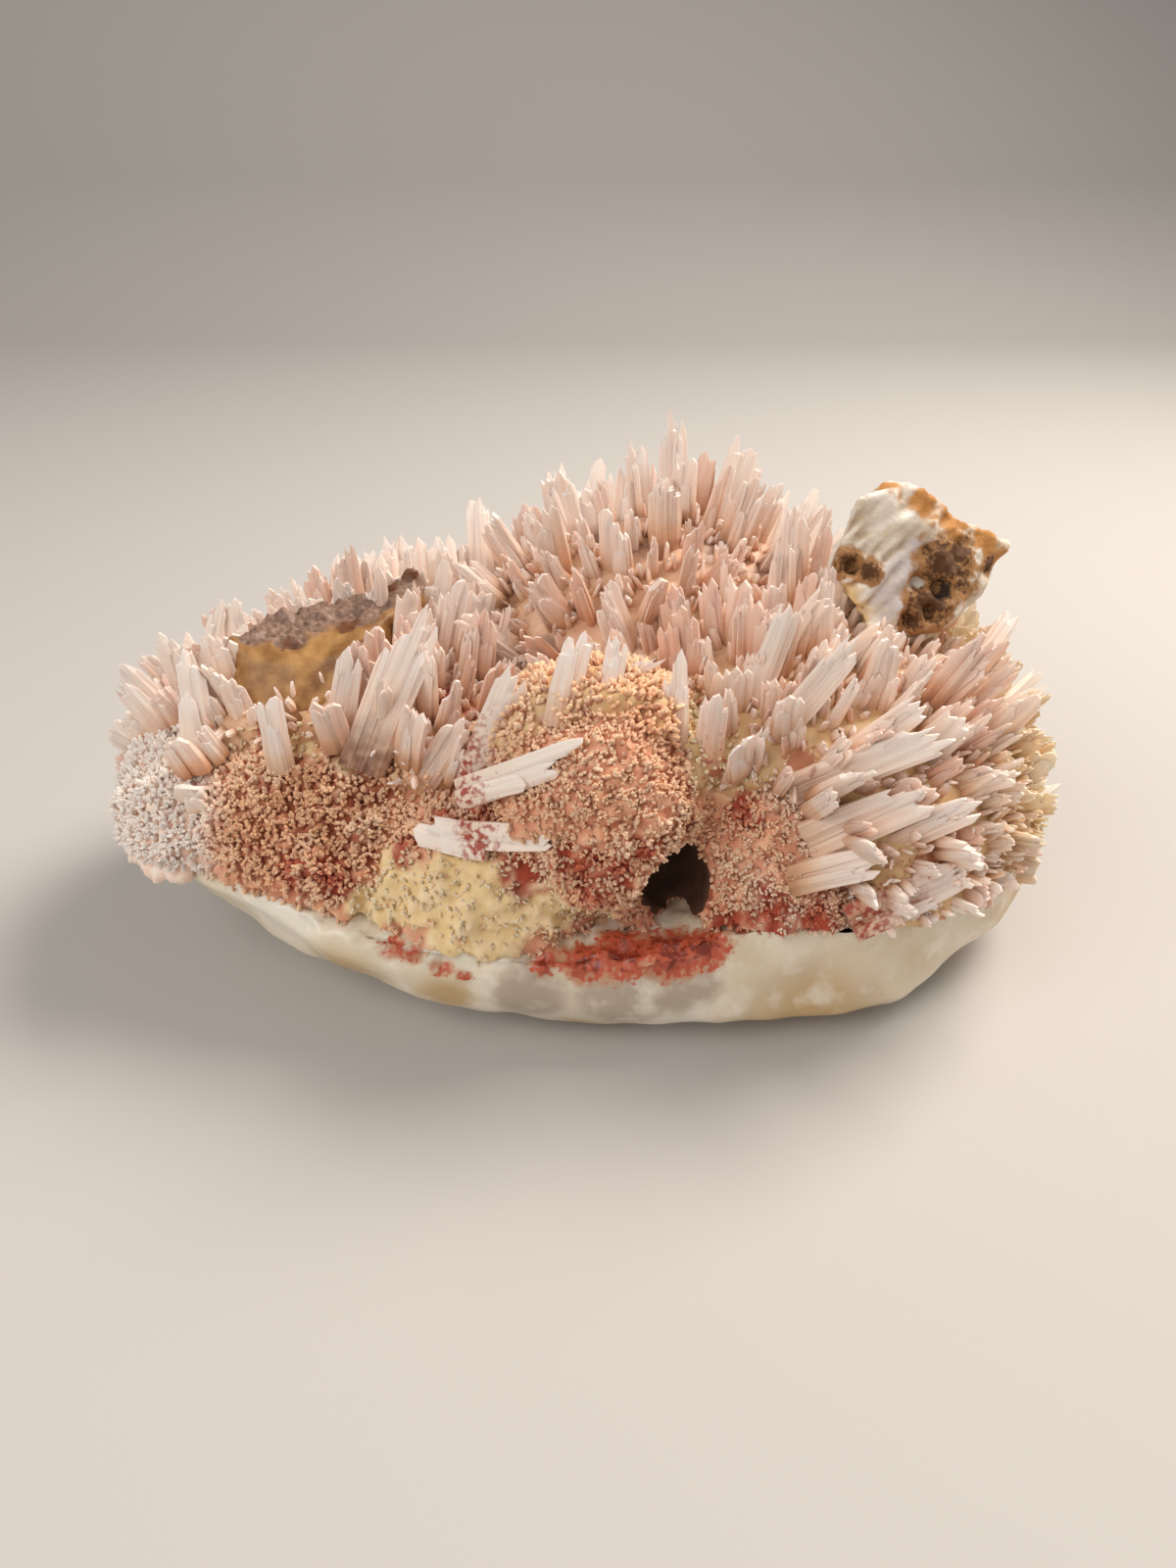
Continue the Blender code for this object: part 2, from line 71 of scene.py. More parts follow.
def add_node(tree, kind, inputs=None, stops=None, **settings):
    """Adds a node. inputs gives its sockets a link, a hex colour or a value.

    stops fills a ramp: its first and last stop, and then the ones between them.
    """
    added = tree.nodes.new(kind)
    for name, value in settings.items():
        setattr(added, name, value)
    for name, value in (inputs or {}).items():
        if isinstance(value, bpy.types.NodeSocket):
            tree.links.new(value, added.inputs[name])
        else:
            added.inputs[name].default_value = linear(value) if isinstance(value, str) else value
    for i, (position, colour) in enumerate(stops or ()):
        ramp = added.color_ramp.elements
        stop = ramp[i] if i < 2 else ramp.new(position)
        stop.position = position
        stop.color = linear(colour)
    return added


def new_material(name, **constants):
    """A Principled material. constants are the sockets that have one value all over."""
    material = bpy.data.materials.new(name)
    material.use_nodes = True
    shader = material.node_tree.nodes["Principled BSDF"]
    shader.inputs["Subsurface Radius"].default_value = PALE_SCATTER
    for socket, value in constants.items():
        shader.inputs[socket.replace("_", " ")].default_value = value
    return material, material.node_tree, shader


def cloudy(tree, size):
    """Noise with lumps of that many millimetres, on Object coordinates."""
    place = add_node(tree, "ShaderNodeTexCoord").outputs["Object"]
    inputs = {"Vector": place, "Scale": 1 / (size * MM), "Detail": CLOUD_DETAIL}
    return add_node(tree, "ShaderNodeTexNoise", inputs).outputs["Fac"]


def painted(tree, layer, lumps, spread, low, high):
    """Where a painted layer shows. Noise, times spread, breaks up its edge."""
    layer = add_node(tree, "ShaderNodeAttribute", attribute_name=layer).outputs["Fac"]
    mixed = add_node(tree, "ShaderNodeMath", {0: lumps, 1: spread, 2: layer}, operation="MULTIPLY_ADD")
    inputs = {"Value": mixed.outputs[0], "From Min": low, "From Max": high}
    return add_node(tree, "ShaderNodeMapRange", inputs, interpolation_type="SMOOTHSTEP").outputs[0]


def over(tree, mask, under, colour):
    """A colour laid over another where the mask is 1."""
    mix = add_node(tree, "ShaderNodeMix", data_type="RGBA")
    for socket, value in ((0, mask), (6, under), (7, colour)):
        if isinstance(value, bpy.types.NodeSocket):
            tree.links.new(value, mix.inputs[socket])
        else:
            mix.inputs[socket].default_value = linear(value) if isinstance(value, str) else value
    return mix.outputs[2]


def add_bump(tree, shader, height, strength, depth):
    """Fine relief, depth millimetres deep."""
    inputs = {"Height": height, "Strength": strength, "Distance": depth * MM}
    bump = add_node(tree, "ShaderNodeBump", inputs)
    tree.links.new(bump.outputs[0], shader.inputs["Normal"])


def cad_form(node):
    """A closed copy of a CAD node, in millimetres."""
    bm = bmesh.new()
    bm.from_mesh(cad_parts[node].data)
    bmesh.ops.scale(bm, vec=(1 / MM, 1 / MM, 1 / MM), verts=bm.verts)
    bmesh.ops.remove_doubles(bm, verts=bm.verts, dist=0.001)
    return bm


def skin(bm, voxel, smoothing):
    """One closed skin round all that bm holds, of even facets about voxel wide."""
    form = bpy.data.objects.new("form", bpy.data.meshes.new("form"))
    bm.to_mesh(form.data)
    bm.free()
    bpy.context.scene.collection.objects.link(form)
    remesh = form.modifiers.new("skin", "REMESH")
    remesh.mode = "VOXEL"
    remesh.voxel_size = voxel
    graph = bpy.context.evaluated_depsgraph_get()
    wrapped = bmesh.new()
    wrapped.from_mesh(bpy.data.meshes.new_from_object(form.evaluated_get(graph)))
    bpy.data.objects.remove(form)
    for _ in range(smoothing):
        bmesh.ops.smooth_vert(
            wrapped, verts=wrapped.verts, factor=0.5, use_axis_x=True, use_axis_y=True, use_axis_z=True
        )
    return wrapped


def push(bm, amount):
    """Moves each vertex along its normal by amount(place, normal)."""
    bm.normal_update()
    shifts = [(vert, vert.normal * amount(vert.co, vert.normal)) for vert in bm.verts]
    for vert, shift in shifts:
        vert.co += shift


def nearness(place, spots):
    """1 in the middle of a spot, 0 outside all of them."""
    return max(0.0, max(1 - (place - Vector(centre)).length / radius for centre, radius in spots))


def paint(bm, layer, value):
    """Fills a painted layer with value(place) on each vertex."""
    layer = bm.verts.layers.float.get(layer) or bm.verts.layers.float.new(layer)
    for vert in bm.verts:
        vert[layer] = value(vert.co)


def place_piece(name, bm, material, node, smooth=True):
    """A piece of the specimen, in metres, that is shown for one of the CAD nodes."""
    bmesh.ops.scale(bm, vec=(MM, MM, MM), verts=bm.verts)
    mesh = bpy.data.meshes.new(name)
    bm.to_mesh(mesh)
    bm.free()
    mesh.materials.append(material)
    mesh.polygons.foreach_set("use_smooth", [smooth] * len(mesh.polygons))
    piece = bpy.data.objects.new(name, mesh)
    bpy.context.scene.collection.objects.link(piece)
    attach(piece, "root")
    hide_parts(node)


def rim_top(x):
    """Height of the base's upper edge, which steps up where the stained ledge ends."""
    return 18.5 + 7.0 * smoothstep(-12.0, -62.0, x) + 3.0 * smoothstep(15.0, 21.0, x)


def base_relief(place, normal):
    broken = smoothstep(4.5, 0.5, rim_top(place.x) - place.z)
    soft = 0.9 * noise.noise(place / 15) + 0.45 * noise.noise(place / 6)
    scallops = noise.noise(place / 6, noise_basis="VORONOI_F1")
    chips = 0.8 * noise.noise(place / 2.2) + 0.5 * noise.noise(place / 1.1)
    crumbly = smoothstep(0.1, 0.5, nearness(place, BASE_RED)) * (noise.noise(place / 1.6) - 0.3)
    return soft - 0.2 + broken * (1.2 * scallops - 0.4 + chips) + 1.3 * crumbly


base = skin(cad_form("pale_base"), BASE_SKIN, 2)
push(base, base_relief)
for vert in base.verts:
    vert.co.z = max(vert.co.z, 0.0)
paint(base, "red", lambda place: nearness(place, BASE_RED))
paint(base, "tan", lambda place: nearness(place, BASE_TAN))
paint(base, "grey", lambda place: nearness(place, BASE_GREY))

# Chalcedony, broken and weathered: waxy, a little translucent, with milky and greyer clouds
chalcedony, tree, shader = new_material(
    "chalcedony_broken", Roughness=0.34, IOR=1.54, Subsurface_Weight=0.35, Subsurface_Scale=3.0 * MM
)
clouds = cloudy(tree, 14.0)
fine = cloudy(tree, 1.6)
colour = add_node(
    tree,
    "ShaderNodeValToRGB",
    {"Fac": clouds},
    stops=((0.30, "#d9c9ab"), (0.62, "#f1ebdd"), (0.48, "#e6dbc5")),
).outputs[0]
colour = over(tree, painted(tree, "tan", clouds, 0.8, 0.45, 1.1), colour, "#c9ab7c")
colour = over(tree, painted(tree, "grey", clouds, 0.9, 0.5, 1.0), colour, "#b9ab99")
milky = {"Value": cloudy(tree, 5.0), "From Min": 0.5, "From Max": 0.8}
milky = add_node(tree, "ShaderNodeMapRange", milky).outputs[0]
colour = over(tree, milky, colour, "#f6efe2")
crumbs = cloudy(tree, 0.9)
colour = over(tree, painted(tree, "red", cloudy(tree, 3.0), 0.9, 0.55, 0.9), colour, "#c99070")
colour = over(tree, painted(tree, "red", crumbs, 1.2, 0.9, 1.1), colour, "#c25c40")
colour = over(tree, painted(tree, "red", crumbs, 1.3, 1.25, 1.45), colour, "#8a3322")
tree.links.new(colour, shader.inputs["Base Color"])
add_bump(tree, shader, fine, 0.35, 0.25)
place_piece("pale_base_stone", base, chalcedony, "pale_base")

# The mordenite is one spongy crust of needle tufts that grew together over the bubble's lining:
# pink-tan on the lobes and the ball, massive and cream-yellow on the ledge at the front.

CRUST_SKIN = 0.8
BARE_PATCHES = (
    ((-44, -38, 30), 21.0), ((-70, -20, 26), 15.0), ((2, -43, 36), 17.5), ((-15, -43, 28), 19.0),
    ((19, -41, 26), 16.0),
)
CAVITY = (Vector((11.5, -37, 26.0)), Vector((5.2, 13.0, 7.0)))
TUFT_DENSE = 0.7  # share of the crust's facets that carry a tuft
TUFT_SPARSE = 0.3  # the same on the massive, cream-yellow parts
TUFT_SIZE = 0.85
CRUST_RED = (
    ((-1, -40, 34), 5.5), ((4, -40, 34), 5.0), ((7, -40, 36), 4.0), ((-8, -36, 30), 5.0),
    ((1, -39, 29), 5.5),
    ((-35, -33, 27), 5.0), ((-25, -33, 32), 4.0), ((-40, -31, 27), 4.5), ((-47, -32, 29), 4.0),
    ((21, -35, 22), 5.0), ((25, -36, 24), 5.0), ((31, -36, 23), 4.5), ((-13, -31, 36), 5.0),
    ((21, -31, 36), 4.0), ((-19, -31, 36), 4.0),
)
# Brown zones of the left lobe; the last four spots, up the cleft above the cavity, are painted shade
CRUST_BROWN_AND_SHADE = (
    ((-40, -30, 33), 7.5), ((-36, -28, 33), 7.5), ((-35, -31, 30), 7.5), ((-32, -28, 36), 6.5),
    ((-42, -26, 34), 6.5), ((-39, -24, 37), 6.0), ((-47, -28, 32), 6.5), ((-29, -26, 38), 5.5),
    ((11, -33, 46), 4.0), ((13, -35, 41), 4.0), ((13, -37, 37), 4.0), ((11, -38, 28), 7.5),
)
CRUST_CREAM = (
    ((-17, -37, 28), 8.0), ((-24, -35, 26), 6.5), ((-8, -37, 27), 6.0), ((-13, -38, 23), 8.0),
    ((-17, -38, 20), 6.0), ((-25, -34, 24), 4.5), ((-3, -39, 23), 4.0), ((18, -32, 43), 8.0),
    ((17, -30, 48), 8.0), ((-33, -24, 42), 5.0), ((-30, -34, 23), 4.5), ((-4, -35, 24), 5.5),
    ((1, -35, 22), 4.0), ((-9, -38, 25), 6.0), ((-26, -33, 29), 4.5), ((-52, -17, 41), 5.0),
    ((-40, -21, 42), 5.0),
)


def is_bare(place, margin=0.0):
    return any((place - Vector(centre)).length < radius + margin for centre, radius in BARE_PATCHES)


def inside(lobe, place, scale=1.0):
    return sum(((p - c) / (r * scale)) ** 2 for p, c, r in zip(place, *lobe)) < 1.0


def as_shape(bm):
    """A small mesh that is stamped many times, and its places at rest."""
    mesh = bpy.data.meshes.new("shape")
    for layer in ("along", "across", "tone", "red", "brown", "cream", "pale"):
        if not bm.verts.layers.float.get(layer):
            bm.verts.layers.float.new(layer)
    bm.to_mesh(mesh)
    bm.free()
    return mesh, [value for vert in mesh.vertices for value in vert.co]


def stamp(bm, shape, turn, layers):
    """Adds a copy of a small mesh, turned by a matrix, with one value all over in each layer."""
    mesh, rest = shape
    mesh.vertices.foreach_set("co", rest)
    mesh.transform(turn)
    for layer, value in layers.items():
        mesh.attributes[layer].data.foreach_set("value", [value] * len(mesh.vertices))
    bm.from_mesh(mesh)


def tuft_shape(rng, prongs, spread):
    """A tuft of blunt needles, 1 high, that lean apart."""
    bm = bmesh.new()
    for i in range(prongs):
        lean = Vector((rng.uniform(-spread, spread), rng.uniform(-spread, spread), 1)).normalized()
        reach = rng.uniform(0.6, 1.0)
        turn = lean.to_track_quat("Z", "X").to_matrix().to_4x4()
        bmesh.ops.create_cone(
            bm,
            cap_ends=True,
            segments=4,
            radius1=0.40,
            radius2=0.17,
            depth=reach + 0.4,
            matrix=turn @ Matrix.Translation((0, 0, reach / 2 - 0.2)),
        )
    paint(bm, "along", lambda place: min(1.0, max(0.0, place.z)))
    return as_shape(bm)


def sponge(place):
    """The spongy relief, from about 0 in a pit to 1 on a lump."""
    return 0.5 + 0.9 * noise.noise(place / 1.9) + 0.5 * noise.noise(place / 0.9)


def crust_relief(place, normal):
    if inside(CAVITY, place, 1.15):
        return 0.8 * noise.noise(place / 2.5)
    seam = 1.8 * smoothstep(-0.35, -0.7, normal.z)  # closes the joint with the base
    return seam + 0.6 * noise.noise(place / 4.5) + 1.2 * (sponge(place) - 0.5)


def crust_layers(place):
    return {
        "red": nearness(place, CRUST_RED),
        # Inside the cavity brown is set to 1.8, past any stain: painted shade that turns the cavity dark
        "brown": 1.8 if inside(CAVITY, place, 1.05) else nearness(place, CRUST_BROWN_AND_SHADE),
        "cream": nearness(place, CRUST_CREAM),
        "pale": smoothstep(-46.0, -60.0, place.x) + 0.25 * smoothstep(14.0, 26.0, place.x),
    }


def leaning(normal, rng, spread, upward):
    """A direction near a normal, which leans at random and is pulled upwards."""
    lean = Vector([rng.uniform(-spread, spread) for _ in range(3)])
    return (normal + lean + Vector((0, 0, upward))).normalized()


def standing(axis, rng):
    """The turn that stands a shape up along an axis, spun at random."""
    spin = Matrix.Rotation(rng.uniform(0, 6.28), 4, "Z")
    return axis.to_track_quat("Z", "X").to_matrix().to_4x4() @ spin


tuft_rng = random.Random(5)
crust = skin(cad_form("mordenite_crust"), CRUST_SKIN, 7)
push(crust, crust_relief)
tufts = [tuft_shape(tuft_rng, 3, 0.6) for _ in range(7)]
grains = bmesh.new()


def add_tuft(bm, place, normal, size):
    """One tuft on the crust, leaning a little upwards as the others do."""
    axis = leaning(normal, tuft_rng, 0.3, 0.2)
    layers = crust_layers(place)
    size *= tuft_rng.uniform(0.8, 1.25) * (0.75 if layers["cream"] > 0.2 else 1.0)
    turn = standing(axis, tuft_rng)
    scale = Matrix.Diagonal((size, size, size * tuft_rng.uniform(0.8, 1.3), 1))
    jitter = Vector([tuft_rng.uniform(-0.3, 0.3) for _ in range(3)])
    layers["tone"] = tuft_rng.uniform(0.2, 1.0)
    stamp(bm, tuft_rng.choice(tufts), Matrix.Translation(place + jitter) @ turn @ scale, layers)


for face in crust.faces:
    place = face.calc_center_median()
    bare = is_bare(place, 2.5) and place.z > rim_top(place.x) - 1.5 and face.normal.y < 0.35
    massive = smoothstep(0.05, 0.3, nearness(place, CRUST_CREAM))
    dense = TUFT_DENSE - (TUFT_DENSE - TUFT_SPARSE) * massive
    if bare and not inside(CAVITY, place, 1.1) and tuft_rng.random() < dense:
        add_tuft(grains, place, face.normal, TUFT_SIZE + 0.2 * smoothstep(-15.0, -30.0, place.x))
for layer in ("red", "brown", "cream", "pale"):
    paint(crust, layer, lambda place: crust_layers(place)[layer])
# Painted shade: the sponge's pits get a low height, so they take the dark gap colour
paint(crust, "along", lambda place: 0.5 * min(1.0, max(0.0, sponge(place))))
paint(crust, "tone", lambda place: 0.5)

# Mordenite, as it grew: matte, spongy needle tufts, with painted shade that darkens the gaps between them
# and fades out towards every tip
mordenite, tree, shader = new_material(
    "mordenite_spongy", Roughness=0.85, IOR=1.47, Subsurface_Weight=0.4, Subsurface_Scale=1.0 * MM
)
height = add_node(tree, "ShaderNodeAttribute", attribute_name="along").outputs["Fac"]
tone = add_node(tree, "ShaderNodeAttribute", attribute_name="tone").outputs["Fac"]
clouds = cloudy(tree, 9.0)
patches = cloudy(tree, 2.6)
cream = painted(tree, "cream", clouds, 0.5, 0.35, 0.65)
whitish = painted(tree, "pale", clouds, 0.5, 0.35, 1.1)
colour = add_node(
    tree, "ShaderNodeValToRGB", {"Fac": clouds}, stops=((0.35, "#efb690"), (0.65, "#f6ceac"))
).outputs[0]
colour = over(tree, cream, colour, "#f6dfbb")
colour = over(tree, whitish, colour, "#fff1e6")
# Painted shade in the gaps between the tufts and in the pits, tinted by the cream, pale, brown and red
# there
gap_shade = over(tree, cream, "#d8987a", "#ecd09c")
gap_shade = over(tree, whitish, gap_shade, "#fbdac8")
gap_shade = over(tree, painted(tree, "brown", patches, 0.8, 0.45, 0.8), gap_shade, "#a35c42")
gap_shade = over(tree, painted(tree, "red", patches, 0.8, 0.45, 0.8), gap_shade, "#a84832")
# How far a place is out of the painted gap shade, by its height on a tuft or in the sponge
out_of_shade = add_node(
    tree,
    "ShaderNodeMapRange",
    {"Value": height, "From Min": 0.1, "From Max": 0.62},
    interpolation_type="SMOOTHSTEP",
).outputs[0]
colour = over(tree, painted(tree, "brown", patches, 0.9, 0.85, 1.3), colour, "#dba47e")
colour = over(tree, painted(tree, "red", cloudy(tree, 1.2), 1.0, 0.95, 1.35), colour, "#c76a50")
colour = over(tree, out_of_shade, gap_shade, colour)
# Painted shade: the cavity, where brown is 1.8, is painted a near-black brown
colour = over(tree, painted(tree, "brown", patches, 0.1, 1.6, 1.8), colour, "#4a3020")
light = add_node(tree, "ShaderNodeMapRange", {"Value": tone, "To Min": 0.88, "To Max": 1.18}).outputs[0]
colour = add_node(tree, "ShaderNodeHueSaturation", {"Color": colour, "Value": light}).outputs[0]
tree.links.new(colour, shader.inputs["Base Color"])
add_bump(tree, shader, cloudy(tree, 0.5), 0.5, 0.2)
place_piece("mordenite_mass", crust, mordenite, "mordenite_crust")

# The stilbite druse is the layer in which the laths are grown together at their roots. It is
# cream-yellow and translucent along the front and at the right end, and the laths hide the rest.

LOBES = (
    (Vector((-34, 1, 25)), Vector((37, 34.5, 20))),
    (Vector((26, -2, 22)), Vector((41.5, 35, 30))),
    (Vector((11, 16, 20)), Vector((36, 31, 39))),
)
FRONT_BALL = (Vector((1, -27, 38)), Vector((15, 15, 15)))
DRUSE_THICKNESS = 3.0
DRUSE_SKIN = 1.3
DRUSE_SUNK = 17.0  # at the cavity, where none grew
CAVITY_REACH = 2.2
FRINGE_WIDTH = 7.0  # how far the tufts run on over the druse
BALL_FRINGE_WIDTH = 30.0
FRINGE_TUFT_SIZE = 1.2
DRUSE_RED = (
    ((-15, -30, 41), 6.0), ((-20, -13, 44), 6.0), ((-14, -18, 46), 5.0), ((33, -16, 57), 3.0),
    ((41, -40, 31), 6.0), ((46, -36, 29), 6.0), ((50, -34, 30), 5.0), ((39, -38, 25), 4.5),
    ((35, -38, 23), 4.5), ((21, -31, 37), 4.0), ((17, -30, 42), 3.0), ((-54, -15, 45), 4.0),
    ((48, -35, 41), 4.0), ((28, -29, 43), 3.5), ((-46, -16, 44), 4.0),
)
# Where the druse and the lath roots are painted dark brown as shade, deep among the laths
DRUSE_SHADE = (
    ((6, 14, 56), 13.0), ((20, 14, 58), 12.0), ((-10, 12, 49), 10.0), ((30, 8, 55), 9.0),
    ((-29, -23, 40), 5.5), ((-27, -20, 43), 5.5), ((-21, -14, 42), 6.0), ((-19, -8, 43), 6.0),
    ((6, -28, 52), 5.0), ((5, -24, 54), 6.0), ((8, -30, 50), 5.0), ((11, -33, 46), 4.5),
    ((13, -35, 41), 4.0), ((-6, -3, 47), 5.0), ((-10, -14, 44), 6.0),
)

druse = bmesh.new()
for centre, radii in (*LOBES, FRONT_BALL):
    grown = [radius + DRUSE_THICKNESS - 0.8 for radius in radii]
    bmesh.ops.create_icosphere(
        druse, subdivisions=4, radius=1.0, matrix=Matrix.Translation(centre) @ Matrix.Diagonal((*grown, 1))
    )
druse = skin(druse, DRUSE_SKIN, 2)


def from_border(place):
    """How far a place is from where the mordenite is bare."""
    return min((place - Vector(centre)).length - radius for centre, radius in BARE_PATCHES)


def druse_relief(place, normal):
    if inside(CAVITY, place, CAVITY_REACH):
        return -DRUSE_SUNK
    lumps = 0.9 * noise.noise(place / 4) + 0.6 * noise.noise(place / 1.8)
    return lumps - 6.5 * smoothstep(5.5, -1.0, from_border(place) + 2.5 * noise.noise(place / 3))


# Painted shade on the druse: the listed spots, and a little everywhere towards the back
def druse_shade(place):
    return max(nearness(place, DRUSE_SHADE), 0.2 * smoothstep(-26.0, -12.0, place.y))


def druse_cream(place):
    front = 0.9 * smoothstep(-10.0, -26.0, place.y)
    return max(front, 0.8 * smoothstep(46.0, 58.0, place.x))


push(druse, druse_relief)
for vert in druse.verts:
    floor = rim_top(vert.co.x) - 1.0
    if vert.co.z < floor:
        vert.co = Vector((vert.co.x * 0.985, vert.co.y * 0.985, floor))
# Painted shade: the druse sits low in the dark root end of the colour ramp, lower behind than at the front
paint(druse, "along", lambda place: 0.2 + 0.2 * smoothstep(-18.0, -28.0, place.y))
paint(druse, "across", lambda place: 0.0)
paint(druse, "tone", lambda place: 0.5)
paint(druse, "red", lambda place: nearness(place, DRUSE_RED))
paint(druse, "brown", druse_shade)
paint(druse, "cream", druse_cream)
druse.normal_update()
fringe_grains = bmesh.new()
for face in druse.faces:
    place = face.calc_center_median()
    near = from_border(place)
    at_ball = inside(FRONT_BALL, place, 1.4)
    width = BALL_FRINGE_WIDTH if at_ball else FRINGE_WIDTH
    above = place.z > rim_top(place.x) and place.x < 32
    fringe = -2.0 < near < width and (at_ball or face.normal.y < 0.2) and above
    if fringe and tuft_rng.random() < 1.3 * smoothstep(width, width - 6.0, near):
        add_tuft(fringe_grains, place, face.normal, FRINGE_TUFT_SIZE)
place_piece("mordenite_tufts", grains, mordenite, "mordenite_crust")
place_piece("mordenite_tufts_fringe", fringe_grains, mordenite, "mordenite_crust")

# The laths: flat stilbite crystals that radiate from the lobes, each a bundle of thin parallel
# laths that broke off at different heights. White and pink, tan at the right, cream towards the roots,
# where painted shade darkens them.

LATH_SPACING = 8.4
LATH_LENGTH = 14.5
LATH_WIDTH = 5.2
LATH_THICKNESS = 2.4
ROOT_DEPTH = 1.8
SHOWN_WIDTH = 0.85  # of a CAD lath's width, because the laths of a bundle spread beyond it
SINGLE_WIDTH = 1.9  # of one lath in a bundle
UPWARD = 0.22  # how much the laths are pulled upwards
BACK = 16  # from this y on the laths are fewer and broader
FEWER_AT_BACK = 0.45
BROADER_AT_BACK = 1.3
# Finer bundles between them: spacing, least x, shares of length and of width
FILLS = ((5.5, -99, 0.55, 1.05, 0.32, 0.6), (3.9, 46, 0.45, 0.95, 0.3, 0.5))
PALEST_STANDING = 0.55  # tone from which the standing laths start: they are the whitest
STUBBLE = 0.25  # share of the druse's facets that carry a short single lath
STUBBLE_RIGHT = 0.3  # added at the right end, where the laths are shortest
FACING = Vector((0.15, -1, 0.3))  # where the broad sides of the standing laths look
SHARD_PLACE = Vector((48, -3, 52))
PATCH_CLEARING = (Vector((-41, -9, 46)), 11.5)  # the laths here broke away with the wall
# Laths that stand out one by one: (root, tip, width, thickness)
STANDING_LATHS = (
    ((-62, -10.5, 39), (-69, -11, 50), 6.5, 3.0),
    ((-59, -6.5, 42), (-61.5, -6, 53.5), 5.0, 2.6),
    ((-57.5, -4, 43.5), (-54.5, 0, 55.5), 3.4, 2.4),
    ((-55, -16.5, 40), (-56, -13, 53), 4.6, 2.6),
    ((-30, -23, 42), (-21.5, -16, 62), 7.2, 2.8),
    ((-34, -21, 43.5), (-31, -20, 58), 3.6, 2.2),
    ((-43, -22, 41), (-44, -21, 50), 3.6, 2.4),
    ((-21.5, -24, 39.5), (-17, -23, 47.5), 4.0, 2.4),
    ((-14, -29, 43), (-8.5, -29, 58), 4.2, 2.4),
    ((-3, -31, 53), (-0.5, -27, 63), 3.6, 2.4),
    ((2.5, -30, 53), (4, -27, 61), 3.0, 2.2),
    ((-1, -28, 52), (11, -26, 57.5), 1.6, 1.4),
    ((11, -30, 48), (11, -27, 59), 3.4, 2.4),
    ((15.5, -30, 46), (15.5, -32, 55.5), 3.6, 2.4),
    ((20, -30, 43), (22, -33, 51), 3.2, 2.2),
    ((26, -26, 47), (35, -29, 62.5), 3.8, 2.4),
    ((22.5, -22, 49), (27, -22, 65), 3.6, 2.4),
    ((34, -29, 43.5), (44.5, -32, 55), 4.2, 2.6),
    ((30, -31, 41), (48, -34, 51.5), 5.4, 2.8),
    ((32, -34.5, 35.5), (45, -36, 43.5), 6.2, 3.0),
    ((41.5, -33.5, 34), (51.5, -35, 41), 5.0, 2.8),
    ((38.5, -36.5, 24), (53.5, -34, 31), 6.2, 3.0),
    ((30, -36.5, 30), (39, -39, 34.5), 5.0, 2.8),
    ((56, -16, 40), (70, -4, 47), 4.6, 2.6),
    ((55, -10, 45), (64, -2, 54), 4.0, 2.6),
    ((58, -22, 29), (72, -12, 32), 4.0, 2.6),
    ((8.5, 20, 56), (7, 26, 76), 4.2, 2.4),
    ((14, 20, 56), (13, 26, 78.5), 6.0, 2.6),
    ((21, 20, 56), (27, 27, 75), 6.6, 2.6),
    ((31, 16, 52), (38, 24, 66), 6.4, 2.4),
    ((-4.5, 20, 52), (-5, 28, 69), 4.8, 2.4),
    ((-17, 18, 48), (-18, 27, 64.5), 4.4, 2.4),
    ((-40, 12, 45), (-40, 20, 58), 4.2, 2.2),
    ((-35, 12, 45), (-36, 20, 58), 4.0, 2.2),
    ((1, 18, 54), (1, 25, 69.5), 5.0, 2.4),
    ((4.5, 18, 54), (5.5, 24, 68), 4.0, 2.4),
    ((27.5, 17, 53), (33, 25, 66), 5.4, 2.4),
    ((36, 7, 50), (40.5, 14, 62.5), 5.4, 2.4),
    ((31, 13, 48), (35.5, 20, 58), 5.0, 2.4),
    ((-27, 14, 46), (-29.5, 20, 61), 4.6, 2.4),
    ((-22.5, 14, 46), (-24.5, 20, 60), 4.6, 2.4),
    ((-31, 12, 45), (-33.5, 19, 58), 4.4, 2.4),
)
# Slighter laths along the edges of the patch and of the shard
EDGE_LATHS = (
    ((-51, -9, 42), (-53, -11, 54.5), 4.0, 2.4),
    ((-48.5, -14, 40), (-50, -17, 50.5), 3.6, 2.2),
    ((-46.5, -15.5, 40), (-46.5, -18, 47), 3.0, 2.0),
    ((-52, -2, 44), (-53, 1, 55), 3.6, 2.2),
    ((26, -14, 50), (32, -18, 64), 3.4, 2.2),
    ((30.5, -11, 51), (34.5, -15, 61), 3.0, 2.2),
    ((35, -13, 49), (40, -18, 58), 3.0, 2.2),
)


